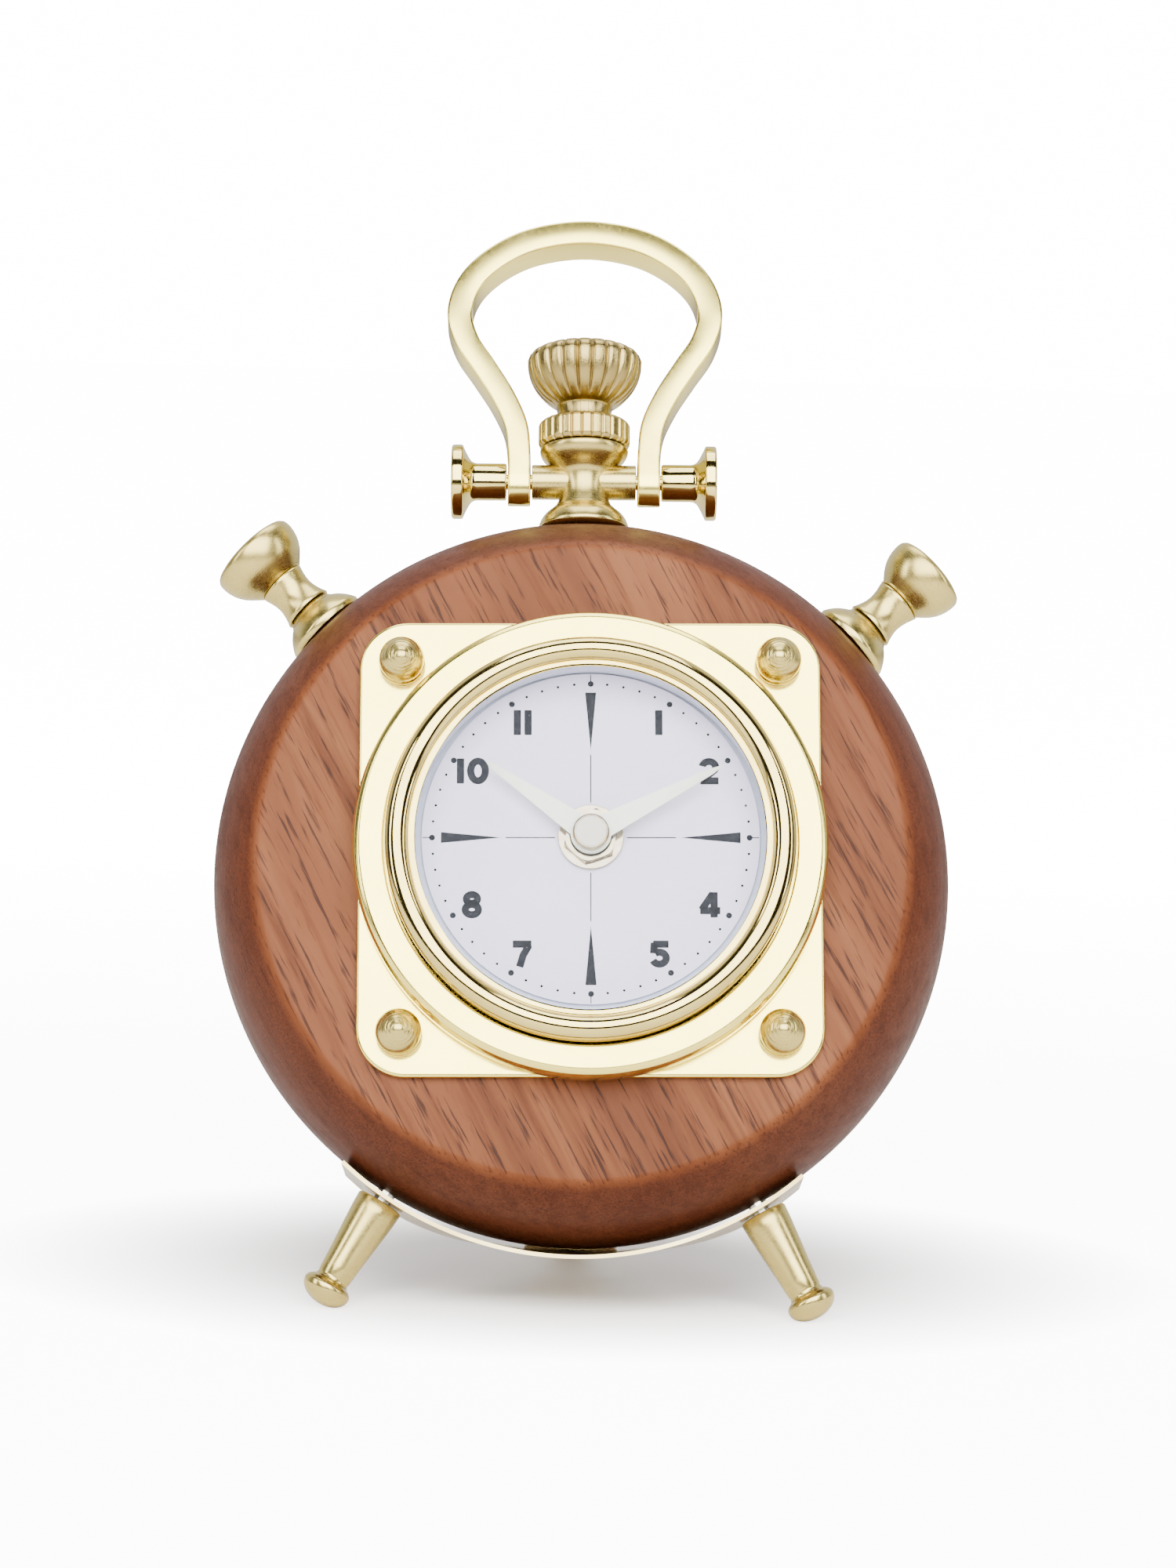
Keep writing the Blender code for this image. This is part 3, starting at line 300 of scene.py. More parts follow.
def plain_material(name, light, dark, rough, metallic=0.0, scale=300.0, relief=0.0, coat=0.0, gloss=0.5):
    """Even surface with a slight mottling, fine relief and its own gloss variation."""
    s = Shader(name)
    mottle = s.noise(s.place, scale, 3.0, 0.6)
    s.set(Base_Color=s.mix(s.span(mottle, 0.3, 0.7), light, dark),
          Roughness=s.span(mottle, 0.3, 0.7, rough * 0.85, rough * 1.15), Metallic=metallic,
          Specular_IOR_Level=gloss)
    if relief:
        s.set(Normal=s.bump(s.noise(s.place, scale * 6.0, 3.0, 0.6), 0.00005, relief))
    if coat:
        s.set(Coat_Weight=coat, Coat_Roughness=0.1)
    return s.material


def glass_material():
    s = Shader("lens_glass")
    dust = s.noise(s.place, 700.0, 4.0, 0.7)
    s.set(Base_Color=s.mix(dust, (0.20, 0.22, 0.25), (0.35, 0.36, 0.38)),
          Roughness=s.span(dust, 0.3, 0.8, 0.02, 0.07))
    s.set(Alpha=s.span(dust, 0.45, 0.85, 0.030, 0.055), IOR=1.30, Specular_IOR_Level=0.12)
    return s.material


def battery_material():
    """Plain two-colour sleeve: dark body with a copper-coloured band towards the plus end."""
    s = Shader("battery_sleeve")
    _, _, z = s.split(s.place)
    scuffs = s.noise(s.scaled(s.place, (900.0, 900.0, 90.0)), 1.0, 3.0, 0.6)
    sleeve = s.mix(s.span(z, 12.2 * MM, 12.5 * MM), (0.020, 0.022, 0.028), (0.62, 0.34, 0.15))
    bare = s.maths("ADD", s.span(z, 23.2 * MM, 23.4 * MM), s.span(z, -23.6 * MM, -23.8 * MM), True)
    colour = s.mix(bare, sleeve, (0.70, 0.69, 0.67))
    s.set(Base_Color=s.mix(s.span(scuffs, 0.55, 0.8, 0.0, 0.2), colour, (0.6, 0.6, 0.6)))
    s.set(Metallic=s.maths("ADD", s.maths("MULTIPLY", bare, 0.7), 0.3),
          Roughness=s.span(scuffs, 0.3, 0.7, 0.22, 0.36))
    return s.material


CREAM = (0.95, 0.80, 0.20)
LOOK = {
    "wood": wood_material(),
    "sheet": brass_material("brass_sheet", CREAM, (0.92, 0.76, 0.19), 0.14, ripple=0.10),
    "ring": brass_material("brass_ring", CREAM, (0.90, 0.74, 0.19), 0.15, turned=0.12),
    "mirror": brass_material("brass_mirror", (0.74, 0.60, 0.19), (0.58, 0.45, 0.14), 0.07, turned=0.05),
    "satin": brass_material("brass_satin", (0.62, 0.50, 0.16), (0.50, 0.39, 0.12), 0.23, turned=0.35),
    "bow": brass_material("brass_bow", CREAM, (0.90, 0.74, 0.20), 0.19, ripple=0.14),
    "crown": brass_material("brass_crown", (0.44, 0.34, 0.12), (0.26, 0.19, 0.06),
                            0.18, grit=0.55, flutes=22),
    "collar": brass_material("brass_collar", (0.56, 0.44, 0.14), (0.40, 0.29, 0.09),
                             0.20, grit=0.3, flutes=27),
    "strap": brass_material("brass_strap", (0.62, 0.50, 0.24), (0.42, 0.32, 0.13),
                            0.18, ripple=0.2, grit=0.12),
    "steel": plain_material("plated_steel", (0.70, 0.69, 0.66), (0.58, 0.57, 0.55), 0.22, 1.0, 400.0, 0.2),
    "dial": plain_material("dial_paper", (0.80, 0.76, 0.93), (0.77, 0.73, 0.90),
                           0.62, 0.0, 900.0, 0.15, 0.0, 0.2),
    "ink": plain_material("dial_ink", (0.010, 0.011, 0.016), (0.016, 0.017, 0.022),
                          0.7, 0.0, 1500.0, 0.0, 0.0, 0.05),
    "wall": plain_material("spacer_wall", (0.52, 0.56, 0.68), (0.58, 0.62, 0.74),
                           0.32, 0.0, 500.0, 0.1, 0.1, 0.3),
    "glass": glass_material(),
    "hand": plain_material("hand_paint", (0.90, 0.93, 0.82), (0.86, 0.89, 0.78), 0.34, 0.0, 260.0, 0.1, 0.2),
    "cap": plain_material("cap_ivory", (0.72, 0.70, 0.62), (0.66, 0.64, 0.56), 0.4, 0.0, 500.0, 0.1),
    "silver": plain_material("bright_nickel", (0.52, 0.46, 0.34), (0.36, 0.31, 0.21), 0.14, 1.0, 500.0),
    "black": plain_material("case_plastic", (0.022, 0.022, 0.025), (0.032, 0.032, 0.036),
                            0.46, 0.0, 700.0, 0.45),
    "symbol": plain_material("moulded_symbol", (0.10, 0.10, 0.11), (0.13, 0.13, 0.14), 0.4, 0.0, 700.0, 0.2),
    "acetal": plain_material("gear_acetal", (0.82, 0.81, 0.74), (0.74, 0.73, 0.66), 0.4, 0.0, 600.0, 0.1),
    "board": plain_material("board_green", (0.03, 0.19, 0.08), (0.02, 0.13, 0.05), 0.35, 0.0, 900.0, 0.2),
    "copper": plain_material("copper_winding", (0.72, 0.33, 0.16), (0.55, 0.22, 0.09), 0.3, 1.0, 1800.0, 0.5),
    "magnet": plain_material("magnet_grey", (0.12, 0.12, 0.13), (0.07, 0.07, 0.08), 0.4, 0.6, 900.0, 0.3),
    "rubber": plain_material("washer_rubber", (0.025, 0.025, 0.025), (0.04, 0.04, 0.04),
                             0.75, 0.0, 900.0, 0.4),
    "battery": battery_material(),
}


# ---------------------------------------------------------------- mesh helpers

def arc(centre_r, centre_h, radius, start, end, count):
    points = []
    for step in range(count + 1):
        angle = math.radians(start + (end - start) * step / count)
        points.append((centre_r + radius * math.cos(angle), centre_h + radius * math.sin(angle)))
    return points


def soften(points, radius, closed=False, bends=5):
    """Rounds each corner of an outline and keeps the flats beside it flat."""
    result = []
    count = len(points)
    for index, point in enumerate(points):
        if not closed and index in (0, count - 1):
            result.append(point)
            continue
        here = Vector(point)
        before = Vector(points[index - 1]) - here
        after = Vector(points[(index + 1) % count]) - here
        if before.length < 1e-6 or after.length < 1e-6:
            continue
        size = min(radius, before.length * 0.3, after.length * 0.3)
        start = before.normalized() * size
        end = after.normalized() * size
        if start.angle(-end) < math.radians(12.0):
            result.append(point)
            continue
        result.append(tuple(here + start * 1.5))
        for bend in range(bends + 1):
            t = bend / bends
            result.append(tuple(here + start * (1 - t) ** 2 + end * t ** 2))
        result.append(tuple(here + end * 1.5))
    return result


def turned_on_disc(degrees, *makers):
    """Runs the makers, then turns all the pieces they made about the disc's axis."""
    before = set(bpy.data.objects)
    for maker in makers:
        maker()
    turn = DISC @ Matrix.Rotation(math.radians(degrees), 4, "Y") @ DISC.inverted()
    for piece in set(bpy.data.objects) - before:
        piece.matrix_world = turn @ piece.matrix_world


def finished(name, builder, look, location=(0, 0, 0), rotation=(0, 0, 0), sharp=None):
    """Turns the builder's mesh into a piece, placed in the disc's frame."""
    bmesh.ops.remove_doubles(builder, verts=builder.verts, dist=0.0000005)
    bmesh.ops.recalc_face_normals(builder, faces=builder.faces)
    mesh = bpy.data.meshes.new(name)
    builder.to_mesh(mesh)
    builder.free()
    mesh.shade_smooth()
    if sharp:
        mesh.set_sharp_from_angle(angle=math.radians(sharp))
    mesh.materials.append(LOOK[look])
    piece = bpy.data.objects.new(name, mesh)
    bpy.context.collection.objects.link(piece)
    place = Matrix.Translation(Vector(location) * MM) @ Euler(rotation).to_matrix().to_4x4()
    piece.matrix_world = DISC @ place
    return piece


def belongs(piece, body, slot, *nodes):
    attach(piece, body)
    if nodes:
        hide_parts(*nodes)
    return piece


def strip(builder, rings, closed_around=True, closed_along=False):
    """Joins rings of points, each a list of the same length, with quads."""
    rows = [[builder.verts.new(Vector(point) * MM) for point in ring] for ring in rings]
    count = len(rows[0])
    pairs = list(zip(rows, rows[1:]))
    if closed_along:
        pairs.append((rows[-1], rows[0]))
    for first, second in pairs:
        for index in range(count if closed_around else count - 1):
            after = (index + 1) % count
            builder.faces.new((first[index], first[after], second[after], second[index]))
    return rows


def revolve(name, profile, look, location=(0, 0, 0), rotation=(0, 0, 0), steps=96, shape=None, sharp=None):
    """Turns a profile of (radius, height) round local z. shape(angle, r, h) may reshape the radius."""
    builder = bmesh.new()
    closed = profile[0][0] > 0.0
    rings = []
    for step in range(steps):
        angle = 2.0 * math.pi * step / steps
        ring = []
        for r, h in profile:
            reach = shape(angle, r, h) if shape and r > 0.0 else r
            ring.append((reach * math.cos(angle), reach * math.sin(angle), h))
        rings.append(ring)
    strip(builder, rings, closed_around=closed, closed_along=True)
    bmesh.ops.remove_doubles(builder, verts=builder.verts, dist=0.0000005)
    flat = [face for face in builder.faces if face.calc_area() < 1e-14]
    bmesh.ops.delete(builder, geom=flat, context="FACES_ONLY")
    return finished(name, builder, look, location, rotation, sharp)


def rounded_square(size, corner, steps=14):
    points = []
    inner = size / 2.0 - corner
    for quarter, (sx, sy) in enumerate([(1, 1), (-1, 1), (-1, -1), (1, -1)]):
        for step in range(steps + 1):
            angle = math.radians(90.0 * (quarter + step / steps))
            points.append((sx * inner + corner * math.cos(angle), sy * inner + corner * math.sin(angle)))
    return points


def layered(name, layers, look, location=(0, 0, 0), rotation=(0, 0, 0), sharp=None):
    """A solid from stacked outlines: layers of (outline, height). Both ends are closed."""
    builder = bmesh.new()
    rows = strip(builder, [[(x, y, height) for x, y in outline] for outline, height in layers])
    builder.faces.new(rows[0][::-1])
    builder.faces.new(rows[-1])
    return finished(name, builder, look, location, rotation, sharp)


def plate_layers(outline_at, thickness, edge, bends=4):
    """Layers for a flat plate with rounded edges. outline_at(inset) is the outline pulled in by inset."""
    turns = [math.radians(90.0 * step / bends) for step in range(bends + 1)]
    low = [(outline_at(edge * (1 - math.sin(t))), edge * (1 - math.cos(t))) for t in turns]
    high = [(inset, thickness - height) for inset, height in reversed(low)]
    inner = outline_at(edge * 1.6)
    return [(inner, 0.0)] + low + high + [(inner, thickness)]


def prism(builder, outline, low, high):
    rows = strip(builder, [[(x, y, low) for x, y in outline], [(x, y, high) for x, y in outline]])
    builder.faces.new(rows[0][::-1])
    builder.faces.new(rows[1])


def ribbon(builder, path, width, low, high, closed=False):
    """A flat stroke of even width along a path."""
    count = len(path)
    left, right = [], []
    for index, point in enumerate(path):
        before = Vector(path[index - 1] if closed or index else point)
        after = Vector(path[(index + 1) % count] if closed or index < count - 1 else point)
        along = (after - before).normalized()
        side = Vector((-along.y, along.x)) * width / 2.0
        left.append(tuple(Vector(point) + side))
        right.append(tuple(Vector(point) - side))
    rings = []
    for a, b in zip(left, right):
        rings.append([(*a, low), (*b, low), (*b, high), (*a, high)])
    rows = strip(builder, rings, closed_along=closed)
    if not closed:
        builder.faces.new(rows[0][::-1])
        builder.faces.new(rows[-1])


def smooth_path(points, per_span):
    ends = [points[0]] + list(points) + [points[-1]]
    path = []
    for index in range(1, len(ends) - 2):
        a, b, c, d = (Vector(ends[index + k]) for k in (-1, 0, 1, 2))
        for step in range(per_span):
            t = step / per_span
            path.append(0.5 * (2.0 * b + (c - a) * t + (2.0 * a - 5.0 * b + 4.0 * c - d) * t * t
                               + (3.0 * b - a - 3.0 * c + d) * t ** 3))
    path.append(Vector(points[-1]))
    return path


# ---------------------------------------------------------------- wooden disc

def make_wood():
    bulge = WOOD_R - FACE_R
    rim_r = (WOOD_HALF ** 2 + bulge ** 2) / (2.0 * bulge)
    half = math.degrees(math.asin(WOOD_HALF / rim_r))
    outer = arc(WOOD_R - rim_r, 0.0, rim_r, half, -half, 44)
    crease = [(FACE_R - 8.0, WOOD_HALF), (FACE_R - 0.9, WOOD_HALF), (FACE_R - 0.25, WOOD_HALF - 0.05)]
    profile = [(0, WOOD_HALF), (20, WOOD_HALF), (45, WOOD_HALF)] + crease + outer[1:-1]
    profile += [(FACE_R - 0.25, -WOOD_HALF + 0.05), (FACE_R - 0.9, -WOOD_HALF), (FACE_R - 8.0, -WOOD_HALF)]
    profile += soften([(FACE_R - 9.0, -WOOD_HALF), (RECESS_R, -WOOD_HALF), (RECESS_R, RECESS_FLOOR),
                       (0, RECESS_FLOOR)], 1.0)
    # built in the disc's own axes, so that the grain is one solid texture through face and rim
    builder = bmesh.new()
    rings = []
    for step in range(224):
        angle = 2.0 * math.pi * step / 224
        rings.append([(r * math.cos(angle), -h, r * math.sin(angle)) for r, h in profile])
    strip(builder, rings, closed_around=False, closed_along=True)
    wood = finished("wood_disc", builder, "wood")
    belongs(wood, "case", "wood", "wood_body", "wood_panel")


# ---------------------------------------------------------------- bezel, lens and dial

def corner_points():
    for sx, sz, where in ((-1, 1, "top_left"), (1, 1, "top_right"), (-1, -1, "bottom_left"),
                          (1, -1, "bottom_right")):
        yield where, BEZEL_X + sx * SCREW_PITCH, BEZEL_Z + sz * SCREW_PITCH


def make_bezel():
    at = (BEZEL_X, 0, BEZEL_Z)
    layers = plate_layers(lambda inset: rounded_square(PLATE_SIZE - 2 * inset, PLATE_CORNER - inset),
                          PLATE_T, 0.7)
    crowned = rounded_square(PLATE_SIZE - 7.0, PLATE_CORNER - 3.5)
    layers = layers[:-1] + [(rounded_square(PLATE_SIZE - 3.0, PLATE_CORNER - 1.5), PLATE_T),
                            (crowned, PLATE_T)]
    plate = layered("square_plate", layers, "sheet", (BEZEL_X, -PLATE_BACK, BEZEL_Z), FACING)
    belongs(plate, "case", "brass_polished", "bezel_plate")

    top = BASE + RING_H
    ring = [(RING_BORE_R, top - 0.2), (RING_BORE_R + 0.3, top), (RING_R - 1.5, top),
            (RING_R - 0.5, top - 0.7),
            (RING_R, top - 2.2), (RING_R, BASE + 1.0), (RING_R - 0.5, BASE), (RING_BORE_R, BASE)]
    belongs(revolve("dial_ring", soften(ring, 0.7, True), "ring", at, FACING, 192),
            "case", "brass_polished", "bezel_ring")

    torus_r = (LENS_R - LIP_R - 0.7) / 2.0
    seat = GLASS_FRONT + GAP
    bulge = arc(LIP_R + 0.7 + torus_r, LENS_TOP - torus_r, torus_r, 168.0, 0.0, 26)
    lip = LIP_R - 0.5
    lens = [(lip, seat), (lip, LENS_TOP - 2.1), (LIP_R + 0.2, LENS_TOP - 1.8)] + bulge
    lens += [(LENS_R - 0.1, top + 1.5), (LENS_R, top + 1.0), (LENS_R, BASE), (WALL_R, BASE), (WALL_R, seat)]
    belongs(revolve("lens_ring", lens, "mirror", at, FACING, 224, sharp=50),
            "case", "brass_polished", "lens_bezel")

    lens_r = WALL_R - GAP
    glass = [(0, GLASS_FRONT), (lens_r - 0.3, GLASS_FRONT), (lens_r, GLASS_FRONT - 0.3),
             (lens_r, GLASS_FRONT - GLASS_T), (0, GLASS_FRONT - GLASS_T)]
    belongs(revolve("lens", glass, "glass", at, FACING, 160, sharp=30), "case", "glass", "dial_glass")

    back = [(4.5, BASE + 0.4), (lens_r, BASE + 0.4), (lens_r, BASE), (4.5, BASE)]
    belongs(revolve("backing_card", back, "wall", at, FACING, 160, sharp=30),
            "case", "spacer_grey", "dial_backing")
    wall_top = GLASS_FRONT - GLASS_T - GAP
    wall = [(LIP_R + 0.4, wall_top), (lens_r, wall_top), (lens_r, DIAL_BACK), (LIP_R + 0.4, DIAL_BACK)]
    belongs(revolve("inner_wall", soften(wall, 0.3, True), "wall", at, FACING, 192),
            "case", "spacer_grey", "dial_spacer")

    shoulder = PLATE_FRONT + GAP + 3.3
    for where, x, z in corner_points():
        profile = [(0, shoulder - 0.4 + SCREW_HEAD_R), (0.9, shoulder - 0.45 + SCREW_HEAD_R)]
        profile += arc(0.0, shoulder - 0.45, SCREW_HEAD_R, 77.0, 4.0, 16)
        profile += [(SCREW_HEAD_R, shoulder - 0.5), (SCREW_HEAD_R - 0.25, shoulder - 0.9),
                    (SCREW_HEAD_R - 0.25, PLATE_FRONT + 1.2), (SCREW_HEAD_R, PLATE_FRONT + 0.9),
                    (SCREW_HEAD_R, PLATE_FRONT + GAP), (1.7, PLATE_FRONT + GAP), (1.7, 8.0), (0, 8.0)]
        screw = revolve("corner_screw_" + where, ringed(profile), "satin", (x, 0, z), FACING, 72)
        belongs(screw, "case", "brass_satin", "dome_screw_" + where)


def ringed(profile):
    """Fine turning steps on the dome, strongest near its top."""
    result = []
    for index, (r, h) in enumerate(profile):
        if 0.9 < r < 3.4 and index % 2:
            result += [(r, h), (r + 0.02, h - 0.06)]
        else:
            result.append((r, h))
    return result


# Each digit is drawn with strokes on a box 1 high: straight runs and arcs, in (x, y)
def turn_path(cx, cy, rx, ry, start, end, count=18):
    angles = [math.radians(start + (end - start) * step / count) for step in range(count + 1)]
    return [(cx + rx * math.cos(a), cy + ry * math.sin(a)) for a in angles]


DIGITS = {
    "1": (0.26, [([(0.13, 0.0), (0.13, 1.0)], False)]),
    "2": (0.74, [(turn_path(0.37, 0.66, 0.26, 0.225, 172, -28) + [(0.10, 0.14), (0.10, 0.11)], False),
                 ([(0.03, 0.11), (0.74, 0.11)], False)]),
    "4": (0.80, [([(0.56, 0.0), (0.56, 1.0)], False), ([(0.52, 0.95), (0.08, 0.30)], False),
                 ([(0.02, 0.27), (0.80, 0.27)], False)]),
    "5": (0.72, [([(0.70, 0.89), (0.10, 0.89)], False), ([(0.15, 0.95), (0.12, 0.53)], False),
                 (turn_path(0.34, 0.345, 0.265, 0.235, 128, -158), False)]),
    "7": (0.72, [([(0.0, 0.89), (0.72, 0.89)], False), ([(0.63, 0.85), (0.40, 0.45), (0.27, 0.0)], False)]),
    "8": (0.74, [(turn_path(0.37, 0.725, 0.215, 0.175, 0, 342), True),
                 (turn_path(0.37, 0.305, 0.255, 0.205, 0, 342), True)]),
    "0": (0.78, [(turn_path(0.39, 0.5, 0.285, 0.395, 0, 345, 24), True)]),
}
STROKE = 0.285
NUMERALS = (("1", 30), ("2", 60), ("4", 120), ("5", 150), ("7", 210), ("8", 240), ("10", 300), ("11", 330))
NUMERAL_R, NUMERAL_H = 27.6, 5.2
INK_LOW, INK_HIGH = 0.0, 0.035


def write(builder, text, x, z, height):
    """Numbers centred on (x, z), drawn with ribbons."""
    gap = 0.16
    widths = [DIGITS[digit][0] for digit in text]
    left = x - (sum(widths) + gap * (len(text) - 1)) * height / 2.0
    for digit, width in zip(text, widths):
        for path, closed in DIGITS[digit][1]:
            placed = [(left + px * height, z + (py - 0.5) * height) for px, py in path]
            ribbon(builder, placed, STROKE * height, INK_LOW, INK_HIGH, closed)
        left += (width + gap) * height


def disc_outline(x, y, radius, count=24):
    angles = [2.0 * math.pi * step / count for step in range(count)]
    return [(x + radius * math.cos(a), y + radius * math.sin(a)) for a in angles]


def make_dial():
    at = (SHAFT_X, -DIAL_BACK, SHAFT_Z)
    face = [(4.4, DIAL_T), (DIAL_R, DIAL_T), (DIAL_R, 0), (4.4, 0)]
    belongs(revolve("printed_dial", face, "dial", at, FACING, 192, sharp=30),
            "case", "dial_white", "dial_face")
    ink = (SHAFT_X, -DIAL_FRONT - 0.002, SHAFT_Z)
    dot_r = 32.0

    builder = bmesh.new()
    for minute in range(60):
        angle = math.radians(6.0 * minute)
        size = 0.6 if minute % 5 == 0 else 0.26
        dot = disc_outline(dot_r * math.sin(angle), dot_r * math.cos(angle), size)
        prism(builder, dot, INK_LOW, INK_HIGH)
    belongs(finished("minute_track", builder, "ink", ink, FACING, 30), "case", "dial_white")

    builder = bmesh.new()
    for text, degrees in NUMERALS:
        angle = math.radians(degrees)
        write(builder, text, NUMERAL_R * math.sin(angle), NUMERAL_R * math.cos(angle), NUMERAL_H)
    belongs(finished("numerals", builder, "ink", ink, FACING, 30), "case", "dial_white")

    builder = bmesh.new()
    for quarter in range(4):
        turn = Matrix.Rotation(math.radians(90.0 * quarter), 2)
        wedge = [(-1.12, 30.2), (0.0, 18.1), (1.12, 30.2)]
        tick = [(-0.09, 32.0), (0.09, 32.0), (0.09, DIAL_R - 0.15), (-0.09, DIAL_R - 0.15)]
        line = [(-0.1, 7.2), (0.1, 7.2), (0.1, 17.2), (-0.1, 17.2)]
        for outline in (wedge, tick, line):
            prism(builder, [tuple(turn @ Vector(point)) for point in outline], INK_LOW, INK_HIGH)
    belongs(finished("quarter_marks", builder, "ink", ink, FACING, 30), "case", "dial_white")


# ---------------------------------------------------------------- hands

def lance(length):
    """A hand's blade, from the edge of the round hub to the tip, whose two halves meet in a raised crease."""
    builder = bmesh.new()
    tip_half, thick, crease = 0.45, 0.3, 0.55
    rows = []
    join = math.radians(36.0)
    start_y = HUB_R * math.cos(join)
    for step in range(25):
        t = step / 24
        y = start_y + (length - start_y) * t
        half = HUB_R * math.sin(join) * (1 - t) + tip_half * t
        if step > 22:
            half *= 0.72 if step == 23 else 0.25
        ridge = crease * (0.55 + 0.45 * min(1.0, t * 6.0)) if step < 24 else thick
        rows.append([(-half, y, 0), (half, y, 0), (half, y, thick), (0, y, ridge), (-half, y, thick)])
    placed = strip(builder, rows)
    builder.faces.new(placed[0][::-1])
    builder.faces.new(placed[-1])
    return builder


def make_hand(name, body, node, length, degrees, height, hole):
    blade = finished(name + "_blade", lance(length), "hand", (SHAFT_X, -height, SHAFT_Z),
                     (math.radians(90.0), math.radians(degrees), 0.0), 20)
    hub = [(hole, 0.3), (HUB_R, 0.3), (HUB_R, 0.0), (hole, 0.0)]
    belongs(revolve(name + "_hub", soften(hub, 0.12, True), "hand", (SHAFT_X, -height, SHAFT_Z), FACING, 64),
            body, "hand_ivory")
    belongs(blade, body, "hand_ivory", node)


def make_hands():
    washer_h = DIAL_FRONT + GAP
    washer = [(4.4, washer_h + 0.5), (6.6, washer_h + 0.5), (6.6, washer_h), (4.4, washer_h)]
    belongs(revolve("shaft_washer", soften(washer, 0.2, True), "silver", (SHAFT_X, 0, SHAFT_Z), FACING, 96),
            "case", "brass_polished", "dial_washer")
    nut_h = washer_h + 0.8
    corner_r = 9.9 / 2.0 / math.cos(math.radians(30.0))

    def hexagon(inset):
        points = []
        for side in range(6):
            for part in range(8):
                a = Vector(hex_corner(side, corner_r))
                b = Vector(hex_corner(side + 1, corner_r))
                point = a.lerp(b, part / 8.0)
                limit = corner_r - inset
                points.append(tuple(point * min(1.0, limit / point.length)))
        return points

    builder = bmesh.new()
    inner = [(4.35 * math.cos(math.radians(19 + 7.5 * k)), 4.35 * math.sin(math.radians(19 + 7.5 * k)))
             for k in range(48)]
    rings = [(inner, 0.0), (hexagon(0.4), 0.0), (hexagon(0.0), 0.25), (hexagon(0.0), 1.25),
             (hexagon(0.45), 1.5),
             (inner, 1.5)]
    strip(builder, [[(x, y, h) for x, y in outline] for outline, h in rings], closed_along=True)
    nut = finished("shaft_nut", builder, "silver", (SHAFT_X, -nut_h, SHAFT_Z), FACING, 25)
    belongs(nut, "case", "brass_polished", "hex_nut")

    hour_h = BUSHING_TOP + 0.4
    minute_h = hour_h + 1.0
    make_hand("hour", "hour_hands", "hour_hand", HOUR_LENGTH, HOUR_ANGLE, hour_h, 2.6)
    make_hand("minute", "minute_hands", "minute_hand", MINUTE_LENGTH, MINUTE_ANGLE, minute_h, 1.5)
    cap_h = minute_h + 0.8
    at = (SHAFT_X, 0, SHAFT_Z)
    face = [(0, cap_h + 1.1), (3.05, cap_h + 1.1), (3.1, cap_h + 1.02), (3.1, cap_h + 0.9), (0, cap_h + 0.9)]
    belongs(revolve("hub_cap_face", face, "cap", at, FACING, 64, sharp=40),
            "minute_hands", "hand_ivory", "hand_cap")
    side = [(3.15, cap_h + 1.05), (3.3, cap_h + 1.05), (3.7, cap_h + 0.65), (3.7, cap_h), (3.15, cap_h)]
    belongs(revolve("hub_cap_ring", soften(side, 0.12, True), "silver", at, FACING, 64),
            "minute_hands", "hand_ivory")


def hex_corner(side, corner_r):
    angle = math.radians(19 + 60 * side)
    return (corner_r * math.cos(angle), corner_r * math.sin(angle))


# ---------------------------------------------------------------- neck, crown and handle

